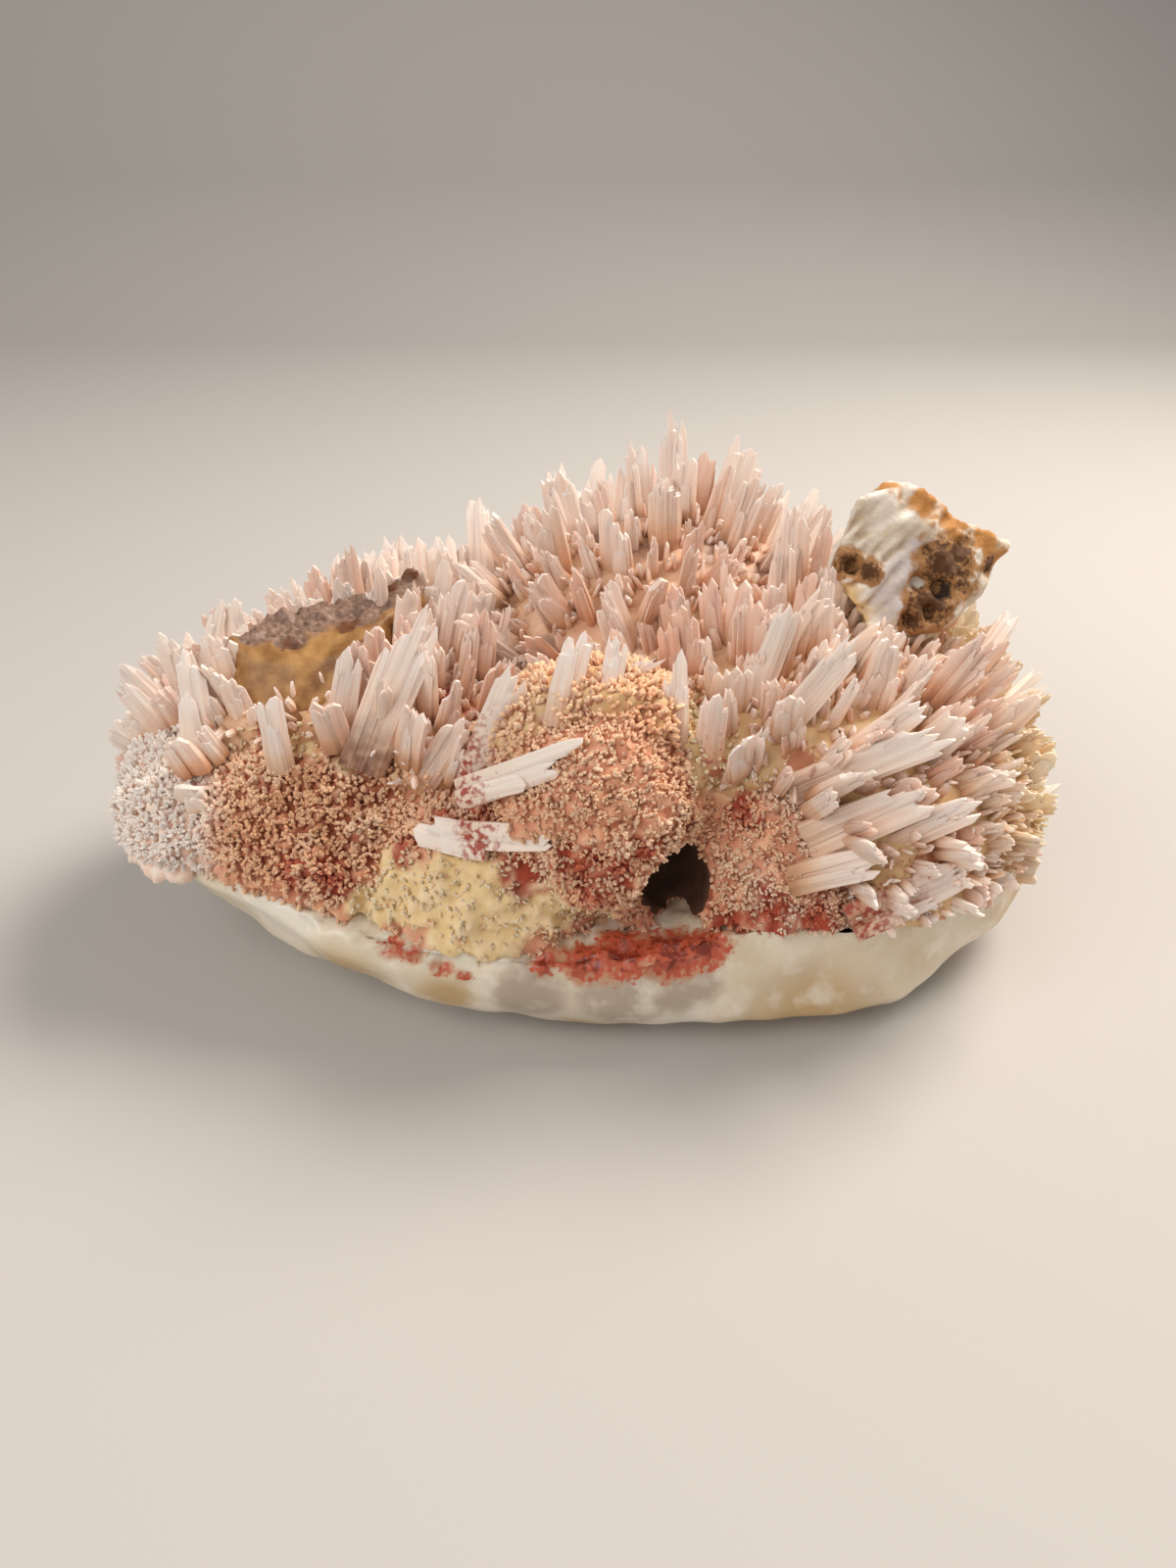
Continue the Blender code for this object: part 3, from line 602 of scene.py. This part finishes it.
def lath_shape(rng):
    """One flat lath, 1 wide, 1 thick and 1 long: ribbed, thin at its sides, and jagged where it broke."""
    bm = bmesh.new()
    bmesh.ops.create_cube(bm, size=1.0, matrix=Matrix.Translation((0, 0, 0.5)))
    for place, normal in (
        ((0, 0, 0.45), (0, 0, 1)),
        ((0, 0, 0.86), (0, 0, 1)),
        ((-0.2, 0, 0), (1, 0, 0)),
        ((0.15, 0, 0), (1, 0, 0)),
    ):
        everything = [*bm.verts, *bm.edges, *bm.faces]
        bmesh.ops.bisect_plane(bm, geom=everything, plane_co=place, plane_no=normal)
    paint(bm, "along", lambda place: place.z)
    paint(bm, "across", lambda place: place.x)
    teeth = {column: rng.uniform(0.84, 1.0) for column in (-0.5, -0.2, 0.15, 0.5)}
    teeth[rng.choice((-0.2, 0.15))] = 1.0
    ribs = {column: rng.uniform(-0.14, 0.14) for column in teeth}
    blunt = rng.uniform(0.6, 0.95)
    bow = rng.uniform(-0.2, 0.2)
    for vert in bm.verts:
        x, y, z = vert.co
        column = min(teeth, key=lambda share: abs(share - x))
        end = smoothstep(0.7, 1.0, z)
        thin = 0.55 if abs(x) > 0.4 else 1.0
        vert.co.x = x * (1 - end * (1 - blunt)) + bow * z * z + rng.uniform(-0.04, 0.04)
        vert.co.y = (y * thin + ribs[column]) * (1 - 0.25 * z) * (1 - 0.55 * end)
        vert.co.z = teeth[column] if z > 0.95 else z
    return as_shape(bm)


def stepped_top(rng):
    """How high a bundle reaches at each share of its half width, and on which side its step is."""
    shoulder = (1.0, rng.uniform(0.66, 0.82))
    peak = (rng.uniform(0.0, 0.6), 1.0)
    notch = (peak[0] - rng.uniform(0.5, 0.7), rng.uniform(0.8, 0.88))
    corner = (-1.0, rng.uniform(0.6, 0.94))
    side = -1 if rng.random() < 0.5 else 1
    return side, (corner, notch, peak, shoulder)


def top_at(top, share):
    """Share of its length that a bundle reaches at one place across it."""
    side, steps = top
    for (low, start), (high, end) in zip(steps, steps[1:]):
        if side * share <= high:
            return start + (end - start) * max(0.0, (side * share - low) / (high - low))
    return steps[-1][1]


def add_bundle(bm, shapes, root, tip, width, thickness, face, top, rng, layers):
    """A flat bundle of laths from root to tip. face is roughly where its broad side looks."""
    tone = layers["tone"]
    axis = (tip - root).normalized()
    across = axis.cross(face).normalized()
    through = axis.cross(across)
    length = (tip - root).length
    count = max(2, round(width / SINGLE_WIDTH))
    rows = [(share, 0.0) for share in range(count)]
    rows += [(rng.uniform(-0.2, count - 0.8), side) for side in (-1, 1) for _ in range((count + 1) // 3)]
    for step, side in rows:
        share = (step + 0.5) / count * 2 - 1
        kept = rng.uniform(0.93, 1.0) if side == 0 else rng.uniform(0.55, 0.93)
        reach = length * top_at(top, share) * kept
        depth = through * thickness * (0.3 * side + rng.uniform(-0.08, 0.08))
        splay = rng.uniform(-0.05, 0.05)
        start = root + across * share * width * 0.36 + depth
        end = root + across * (share * 0.38 + splay) * width + axis * reach + depth * 0.7
        line = end - start
        single = line.normalized()
        sideways = single.cross(face).normalized()
        wide = width / count * rng.uniform(1.0, 1.6)
        thick = thickness * (rng.uniform(0.45, 0.7) if side == 0 else rng.uniform(0.3, 0.5))
        sides = (sideways * wide, single.cross(sideways) * thick, line)
        turn = Matrix(sides).transposed().to_4x4()
        layers["tone"] = tone + rng.uniform(-0.06, 0.06)
        stamp(bm, rng.choice(shapes), Matrix.Translation(start) @ turn, layers)


def lath_layers(place, rng, palest=0.0):
    """Stains, tint and painted root shade of a bundle that grew at a place."""
    return {
        "tone": rng.uniform(palest, 1.0),
        "red": 0.5 * nearness(place, DRUSE_RED),
        "brown": nearness(place, DRUSE_SHADE),
        "cream": smoothstep(44.0, 60.0, place.x + 0.25 * place.y + rng.uniform(-5, 5)),
    }


def low_front(place):
    """Low at the front, where the ledge and the ball keep the laths away."""
    return place.y < -22 and place.z < 25 and place.x < 33


def lath_length(place):
    crown = 0.5 + 0.5 * smoothstep(18.0, 44.0, place.z)
    left = 1 - 0.35 * smoothstep(-30.0, -55.0, place.x)
    right = 1 - 0.35 * smoothstep(50.0, 68.0, place.x)
    shard = 1 - 0.5 * smoothstep(17.0, 9.0, (place - SHARD_PLACE).length)
    return LATH_LENGTH * crown * left * right * shard


def places_on(lobe, spacing):
    """Points and outward normals spread over a lobe along a golden spiral, about spacing apart."""
    centre, radii = lobe
    count = int(4 * math.pi * (sum(radii) / 3) ** 2 / spacing**2)
    for i in range(count):
        z = 1 - 2 * (i + 0.5) / count
        angle = i * math.pi * (3 - math.sqrt(5))
        level = Vector((math.cos(angle), math.sin(angle), 0))
        direction = level * math.sqrt(1 - z * z) + Vector((0, 0, z))
        offset = direction / Vector([d / r for d, r in zip(direction, radii)]).length
        yield centre + offset, Vector([o / (r * r) for o, r in zip(offset, radii)]).normalized()


def grown_places(lobe, spacing):
    """The places on a lobe where laths could grow: clear of the others and of the bare front."""
    others = [other for other in LOBES if other is not lobe]
    for place, normal in places_on(lobe, spacing):
        if any(inside(other, place, 1.04) for other in others) or is_bare(place, 0.5):
            continue
        if inside(FRONT_BALL, place, 1.1) or place.z < rim_top(place.x) - 1:
            continue
        yield place, normal


shape_rng = random.Random(3)
shapes = [lath_shape(shape_rng) for _ in range(9)]
look_rng = random.Random(8)  # for what the bundles don't share with the CAD laths
layout_rng = random.Random(11)  # draws what the CAD laths draw, in the same order
laths = {}
for name, lobe in zip(("left", "right", "back"), LOBES):
    laths[name] = bmesh.new()
    for place, normal in grown_places(lobe, LATH_SPACING):
        by_shard = (place - SHARD_PLACE).length < 10
        if by_shard or place.y > BACK and layout_rng.random() < FEWER_AT_BACK:
            continue
        axis = leaning(normal, layout_rng, 0.2, UPWARD)
        face = Vector((layout_rng.uniform(-0.7, 0.7), -1.0, layout_rng.uniform(-0.3, 0.6)))
        length = lath_length(place) * layout_rng.uniform(0.75, 1.2)
        root = place - axis * (ROOT_DEPTH - DRUSE_THICKNESS)
        broader = BROADER_AT_BACK if place.y > BACK else 1.0
        width = SHOWN_WIDTH * (LATH_WIDTH * layout_rng.uniform(0.75, 1.3) * broader)
        thickness = LATH_THICKNESS * layout_rng.uniform(0.8, 1.3)
        top = stepped_top(layout_rng)
        layers = lath_layers(root, look_rng)
        sparse = place.y > 20 and place.z < 40 and int(place.x) % 2  # low at the back
        by_patch = (place - PATCH_CLEARING[0]).length <= PATCH_CLEARING[1]
        if low_front(place) or sparse or by_patch:
            continue
        tip = place + axis * length
        add_bundle(laths[name], shapes, root, tip, width, thickness, face, top, look_rng, layers)
for root, tip, width, thickness in STANDING_LATHS:
    root, tip = Vector(root), Vector(tip)
    root -= (tip - root).normalized() * 2 * ROOT_DEPTH
    name = "left" if root.x < -10 else "right" if root.y < 5 else "back"
    top = stepped_top(layout_rng)
    layers = lath_layers(root, look_rng, PALEST_STANDING)
    add_bundle(laths[name], shapes, root, tip, width, thickness, FACING, top, look_rng, layers)
for root, tip, width, thickness in EDGE_LATHS:
    root, tip = Vector(root), Vector(tip)
    layers = lath_layers(root, look_rng, PALEST_STANDING)
    top = stepped_top(look_rng)
    name = "left" if root.x < -10 else "right"
    add_bundle(laths[name], shapes, root, tip, width, thickness, FACING, top, look_rng, layers)
for name, lobe in zip(("left", "right", "back"), LOBES):
    for spacing, least_x, shortest, longest, narrowest, widest in FILLS:
        for place, normal in grown_places(lobe, spacing):
            axis = leaning(normal, look_rng, 0.09, UPWARD)
            face = Vector((look_rng.uniform(-0.8, 0.8), -1.0, look_rng.uniform(-0.4, 0.7)))
            length = lath_length(place) * look_rng.uniform(shortest, longest)
            width = LATH_WIDTH * look_rng.uniform(narrowest, widest)
            thickness = LATH_THICKNESS * look_rng.uniform(0.6, 1.0)
            top = stepped_top(look_rng)
            layers = lath_layers(place, look_rng)
            by_shard = (place - SHARD_PLACE).length < 8
            by_patch = (place - PATCH_CLEARING[0]).length < PATCH_CLEARING[1] + 1
            if by_shard or by_patch or low_front(place) or place.x < least_x:
                continue
            tip = place + axis * length
            add_bundle(laths[name], shapes, place, tip, width, thickness, face, top, look_rng, layers)

stubble = bmesh.new()
for face in druse.faces:
    place = face.calc_center_median()
    bare = low_front(place) or place.z < rim_top(place.x) or from_border(place) < 2.0
    bare = bare or inside(FRONT_BALL, place, 1.2) or inside(CAVITY, place, CAVITY_REACH)
    share = STUBBLE + STUBBLE_RIGHT * smoothstep(48.0, 60.0, place.x)
    if bare or look_rng.random() > share:
        continue
    axis = leaning(face.normal, look_rng, 0.35, 0.2)
    turn = standing(axis, look_rng)
    width = look_rng.uniform(0.9, 1.5)
    thickness = look_rng.uniform(0.6, 0.9)
    length = look_rng.uniform(1.8, 4.0)
    layers = lath_layers(place, look_rng)
    # Painted shade: the stubble low between the laths gets a darker tone
    layers["tone"] *= 0.7
    root = Matrix.Translation(place - axis * (0.5 + 0.9 * smoothstep(60.0, 66.0, place.x)))
    size = Matrix.Diagonal((width, thickness, length, 1))
    stamp(stubble, look_rng.choice(shapes), root @ turn @ size, layers)

# Stilbite, as it grew and broke: pearly, finely striated along each lath, faintly translucent
stilbite, tree, shader = new_material(
    "stilbite_pearly", Roughness=0.45, IOR=1.5, Subsurface_Weight=0.2, Subsurface_Scale=1.5 * MM,
    Sheen_Weight=0.15, Sheen_Roughness=0.4
)
along = add_node(tree, "ShaderNodeAttribute", attribute_name="along").outputs["Fac"]
across = add_node(tree, "ShaderNodeAttribute", attribute_name="across").outputs["Fac"]
tone = add_node(tree, "ShaderNodeAttribute", attribute_name="tone").outputs["Fac"]
tan = add_node(tree, "ShaderNodeAttribute", attribute_name="cream").outputs["Fac"]
clouds = cloudy(tree, 7.0)
patches = cloudy(tree, 2.2)
# Striations: about ten across a lath of 1.2 mm, drawn as five because finer ones don't show
lines = add_node(tree, "ShaderNodeCombineXYZ", {"X": across, "Y": tone, "Z": along})
stretched = add_node(tree, "ShaderNodeMapping", {"Vector": lines.outputs[0], "Scale": (5.0, 9.0, 0.9)})
striae = add_node(
    tree, "ShaderNodeTexNoise", {"Vector": stretched.outputs[0], "Scale": 1.0, "Detail": 2.0}
).outputs["Fac"]
# Painted shade: from dark at a lath's root, where the laths shade each other, to white at its tip, shifted
# by clouds and by each lath's own tone
out_of_shade = add_node(
    tree, "ShaderNodeMath", {0: clouds, 1: 0.7, 2: along}, operation="MULTIPLY_ADD"
).outputs[0]
out_of_shade = add_node(
    tree, "ShaderNodeMath", {0: tone, 1: 0.25, 2: out_of_shade}, operation="MULTIPLY_ADD"
).outputs[0]
out_of_shade = add_node(tree, "ShaderNodeMath", {0: out_of_shade, 1: 0.6}, operation="MULTIPLY").outputs[0]
white = add_node(
    tree,
    "ShaderNodeValToRGB",
    {"Fac": out_of_shade},
    stops=((0.14, "#865a3a"), (0.92, "#fbeee6"), (0.27, "#bd8a64"), (0.43, "#e0b898"), (0.62, "#f3ddcd")),
).outputs[0]
yellow = add_node(
    tree,
    "ShaderNodeValToRGB",
    {"Fac": out_of_shade},
    stops=((0.14, "#a2663a"), (0.92, "#f2e2c2"), (0.30, "#cb9c68"), (0.56, "#e0c08c")),
).outputs[0]
colour = over(tree, tan, white, yellow)
for driver, low, high, strength, tint in (
    (striae, 0.50, 0.72, 0.4, "#d9a08a"),
    (tone, 0.35, 0.05, 0.35, "#dc9f87"),
    (tone, 0.7, 1.0, 0.6, "#faede2"),
):
    inputs = {"Value": driver, "From Min": low, "From Max": high, "To Max": strength}
    mask = add_node(tree, "ShaderNodeMapRange", inputs).outputs[0]
    colour = over(tree, mask, colour, tint)
deep, root_end = (
    add_node(tree, "ShaderNodeMapRange", {"Value": along, "From Min": low, "From Max": high}).outputs[0]
    for low, high in ((0.45, 0.05), (0.75, 0.25))
)
stain = painted(tree, "red", cloudy(tree, 0.8), 1.2, 0.85, 1.1)
stain = add_node(tree, "ShaderNodeMath", {0: stain, 1: root_end}, operation="MULTIPLY").outputs[0]
colour = over(tree, stain, colour, "#a84a38")
# Painted shade: dark brown deep at the lath roots and on the druse, where the brown layer is painted
root_shade = painted(tree, "brown", patches, 0.8, 0.6, 1.0)
root_shade = add_node(tree, "ShaderNodeMath", {0: root_shade, 1: deep}, operation="MULTIPLY").outputs[0]
colour = over(tree, root_shade, colour, "#6d4030")
tree.links.new(colour, shader.inputs["Base Color"])
add_bump(tree, shader, striae, 0.7, 0.3)
place_piece("stilbite_druse", druse, stilbite, "stilbite_crystals")
place_piece("stilbite_stubble", stubble, stilbite, "stilbite_crystals", smooth=False)
for name, bm in laths.items():
    place_piece("stilbite_laths_" + name, bm, stilbite, "stilbite_crystals", smooth=False)

# Three groups of stilbite lie or stand apart on the mordenite: a white lath on the ball, a lower
# one with the chip that crosses it, and a stub on the left lobe. Iron has speckled their roots.

LOW_SPOT = ((-15, -35, 36), 6.0)  # the iron between the two laths
# (name, root, tip, width, thickness, where it is stained)
APART = (
    ("stilbite_blade_lying", (-16.5, -34, 41), (1, -38.5, 50.5), 4.4, 3.4, ((-15, -35, 42), 6.0)),
    ("stilbite_blade_low", (-16, -34, 34.5), (-1.5, -41, 38.5), 3.6, 3.2, LOW_SPOT),
    ("chip", (-13, -35, 34), (-24.5, -32, 34), 4.2, 3.2, ((-14, -35, 35), 7.0)),
    ("stilbite_stub_left", (-55.5, -22, 32.5), (-54.8, -27, 38), 4.6, 3.6, ((-55, -25, 39), 3.0)),
)
LOOKING = Vector((0.1, -1, 0.5))  # where their broad sides look
apart = {}
for name, root, tip, width, thickness, spot in APART:
    node = "stilbite_blade_low" if name == "chip" else name
    bm = apart.setdefault(node, bmesh.new())
    root, tip = Vector(root), Vector(tip)
    layers = {"tone": 0.95, "red": 0.0, "brown": 0.0, "cream": 0.0}
    top = stepped_top(layout_rng)
    add_bundle(bm, shapes, root, tip, width, thickness, LOOKING, top, look_rng, layers)
    paint(bm, "red", lambda place: 0.6 * nearness(place, (spot, LOW_SPOT)))
for node, bm in apart.items():
    place_piece(node + "_bundle", bm, stilbite, node, smooth=False)

# The shard at the upper right is broken cavity wall: brown, earthy, full of holes on its right,
# and fibrous white and grey zeolite in parallel ribs on its left, with a rusty upper edge.

SHARD_SKIN = 0.55
SHARD_BROWN = (
    ((50, -6, 62), 6.5), ((48, -9, 57), 6.0), ((46, -9, 55), 4.0), ((53, -5, 64), 5.0),
    ((52, -5, 59), 5.0), ((36, -9, 63), 3.6), ((39, -9, 62), 3.0), ((58, -3, 61), 3.0),
)
SHARD_HOLES = (
    ((47, -8, 60), 2.0), ((50, -7, 58.5), 2.4), ((48.5, -9, 56), 1.6), ((36.5, -9, 62.5), 1.6),
    ((45.5, -9.5, 55), 1.3),
)
HOLE_DEPTH = 2.6
SHARD_GREY = (((44, -7, 62), 5.0), ((42, -9, 58), 5.0), ((46, -6, 64), 4.0))
SHARD_CREAM = (((35, -9, 57), 5.0), ((37, -8, 54), 5.0))
SHARD_RUST = (
    ((47, -3, 70), 4.5), ((52, -2, 67.5), 4.5), ((57, -1, 64), 3.5), ((42, -3, 71), 3.0),
    ((60, -1, 61), 3.0),
)
RIB = Vector((0.75, 0.2, 0.6)).normalized()  # the way the ribs run


def streaks(place):
    """Parallel streaks along the ribs, from about -0.5 to 0.5."""
    sideways = place - RIB * place.dot(RIB) * 0.9
    return noise.noise(sideways / 1.5) + 0.4 * noise.noise(sideways / 0.8)


def shard_relief(place, normal):
    earthy = smoothstep(0.1, 0.6, nearness(place, SHARD_BROWN))
    ribs = 0.8 * streaks(place)
    pits = 1.0 * noise.noise(place / 2.4) + 0.8 * noise.noise(place / 1.1)
    hole = HOLE_DEPTH * smoothstep(0.0, 0.75, nearness(place, SHARD_HOLES))
    return (1 - earthy) * ribs + earthy * pits - hole + 0.5 * noise.noise(place / 4)


shard = skin(cad_form("matrix_shard_right"), SHARD_SKIN, 2)
push(shard, shard_relief)
paint(shard, "ribs", lambda place: 0.5 + 0.55 * streaks(place))
for layer, spots in (
    ("brown", SHARD_BROWN),
    ("holes", SHARD_HOLES),
    ("grey", SHARD_GREY),
    ("cream", SHARD_CREAM),
    ("rust", SHARD_RUST),
):
    paint(shard, layer, lambda place: nearness(place, spots))

# Weathered basalt crust with a zeolite lining: matte and crumbly, paler and silkier on the ribs
wall, tree, shader = new_material(
    "basalt_crust_weathered", Roughness=0.8, IOR=1.5, Subsurface_Weight=0.08, Subsurface_Scale=0.8 * MM
)
lumps = cloudy(tree, 2.0)
fine = cloudy(tree, 0.7)
ribs = add_node(tree, "ShaderNodeAttribute", attribute_name="ribs").outputs["Fac"]
colour = add_node(
    tree,
    "ShaderNodeValToRGB",
    {"Fac": ribs},
    stops=((0.25, "#a8937c"), (0.75, "#f4efe6"), (0.48, "#ddd2c2")),
).outputs[0]
colour = over(tree, painted(tree, "grey", ribs, 0.6, 0.5, 1.0), colour, "#c2b9b7")
colour = over(tree, painted(tree, "cream", lumps, 0.8, 0.4, 0.8), colour, "#dcc28e")
colour = over(tree, painted(tree, "brown", lumps, 0.9, 0.6, 0.85), colour, "#a07448")
colour = over(tree, painted(tree, "brown", fine, 1.2, 1.05, 1.3), colour, "#5b3a1e")
colour = over(tree, painted(tree, "rust", lumps, 0.9, 0.65, 1.0), colour, "#bf8648")
# Painted shade: the holes are painted near-black inside
colour = over(tree, painted(tree, "holes", fine, 0.4, 0.4, 0.7), colour, "#2b1a10")
tree.links.new(colour, shader.inputs["Base Color"])
add_bump(tree, shader, fine, 0.6, 0.3)
place_piece("matrix_shard_wall", shard, wall, "matrix_shard_right")

# The patch on the left lobe is where wall broke away: a cream-yellow, waxy mass of root zone with
# a grey-brown druse of tiny crystals left on its upper face.

PATCH_SKIN = 0.6
PATCH_DRUSE = (
    ((-45, -4, 52), 6.0), ((-41, -2, 52), 6.0), ((-36, 0, 53), 6.0), ((-31, 2, 55), 5.5),
    ((-27, 4, 57), 5.0), ((-48, -6, 52), 4.5), ((-43, -7, 50.5), 3.5), ((-33, -3, 53), 4.5),
)
PATCH_BROWN = (
    ((-27, 5, 57.5), 3.2), ((-30, 3, 56), 2.6), ((-43, -8, 49.5), 3.0), ((-35, -5, 52.5), 3.0),
    ((-31, -8, 50), 3.0),
)


def patch_relief(place, normal):
    rough = smoothstep(0.05, 0.5, nearness(place, PATCH_DRUSE))
    crystals = 0.9 * noise.noise(place / 1.3, noise_basis="VORONOI_F1") + 0.7 * noise.noise(place / 2.5)
    return 0.7 * noise.noise(place / 5) + rough * (crystals - 0.4)


patch = skin(cad_form("matrix_patch_left"), PATCH_SKIN, 3)
push(patch, patch_relief)
paint(patch, "druse", lambda place: nearness(place, PATCH_DRUSE))
paint(patch, "brown", lambda place: nearness(place, PATCH_BROWN))

# Massive zeolite, broken: waxy and translucent below, a dull sugary druse above
massive, tree, shader = new_material(
    "zeolite_massive_broken", Roughness=0.5, IOR=1.5, Subsurface_Weight=0.25, Subsurface_Scale=2.0 * MM
)
lumps = cloudy(tree, 3.0)
fine = cloudy(tree, 0.8)
colour = add_node(
    tree, "ShaderNodeValToRGB", {"Fac": lumps}, stops=((0.35, "#875c2e"), (0.65, "#b58a54"))
).outputs[0]
grey = add_node(
    tree, "ShaderNodeValToRGB", {"Fac": fine}, stops=((0.3, "#64493b"), (0.7, "#a08372"))
).outputs[0]
colour = over(tree, painted(tree, "druse", lumps, 0.8, 0.5, 0.8), colour, grey)
colour = over(tree, painted(tree, "brown", fine, 1.0, 0.75, 1.0), colour, "#6e4327")
tree.links.new(colour, shader.inputs["Base Color"])
add_bump(tree, shader, fine, 0.4, 0.3)
place_piece("matrix_patch_remains", patch, massive, "matrix_patch_left")

# A pale paper sweep: a level floor that turns up into a wall far behind the specimen.

FLOOR = 1.6  # half the paper's width, in metres as all that follows
PROFILE = ((-FLOOR, 0), (0.55, 0), (0.8, 0.07), (0.92, 0.25), (0.95, FLOOR))  # (y, z)
sweep = bmesh.new()
profile = [sweep.verts.new((-FLOOR, y, z)) for y, z in PROFILE]
for start, end in zip(profile, profile[1:]):
    sweep.edges.new((start, end))
swept = bmesh.ops.extrude_edge_only(sweep, edges=sweep.edges)
moved = [item for item in swept["geom"] if isinstance(item, bmesh.types.BMVert)]
bmesh.ops.translate(sweep, verts=moved, vec=(2 * FLOOR, 0, 0))
bmesh.ops.recalc_face_normals(sweep, faces=sweep.faces)
if sweep.faces[0].normal.z < 0:
    bmesh.ops.reverse_faces(sweep, faces=sweep.faces)
mesh = bpy.data.meshes.new("paper_sweep")
sweep.to_mesh(mesh)
sweep.free()
mesh.polygons.foreach_set("use_smooth", [True] * len(mesh.polygons))
paper, tree, shader = new_material("paper_matte", Roughness=0.9)
shader.inputs["Base Color"].default_value = linear("#c2bfbc")
mesh.materials.append(paper)
sweep = bpy.data.objects.new("paper_sweep", mesh)
bpy.context.scene.collection.objects.link(sweep)

# Soft studio light: a large window-like panel from behind on the right, a fill from the left
# front, and an even pale surround.


def add_panel(name, place, target, size, power, colour):
    """A soft panel of so many watts, in metres, that looks at a target."""
    light = bpy.data.lights.new(name, "AREA")
    light.shape = "RECTANGLE"
    light.size, light.size_y = size
    light.energy = power
    light.color = linear(colour)[:3]
    panel = bpy.data.objects.new(name, light)
    panel.location = place
    panel.rotation_euler = (Vector(target) - Vector(place)).to_track_quat("-Z", "Y").to_euler()
    bpy.context.scene.collection.objects.link(panel)


bpy.context.scene.view_settings.view_transform = "Standard"
add_panel("window", (0.34, 0.16, 0.52), (0, 0, 0.04), (0.35, 0.3), 4.8, "#fff4e8")
add_panel("fill", (-0.4, -0.45, 0.5), (0, 0, 0.03), (0.6, 0.5), 2.8, "#fffaf4")
world = bpy.data.worlds.new("surround")
world.use_nodes = True
surround = world.node_tree.nodes["Background"]
surround.inputs["Color"].default_value = linear("#efeae5")
surround.inputs["Strength"].default_value = 0.39
bpy.context.scene.world = world

# The camera stands as the phone did: close, above the front, looking 30 degrees down.

camera = bpy.data.cameras.new("camera")
camera.lens = 27.0
camera.sensor_width = 36.0
camera.clip_start = 0.005
viewpoint = bpy.data.objects.new("camera", camera)
viewpoint.location = (0.0, -0.165, 0.118)
viewpoint.rotation_euler = (math.radians(60), 0, 0)
bpy.context.scene.collection.objects.link(viewpoint)
bpy.context.scene.camera = viewpoint
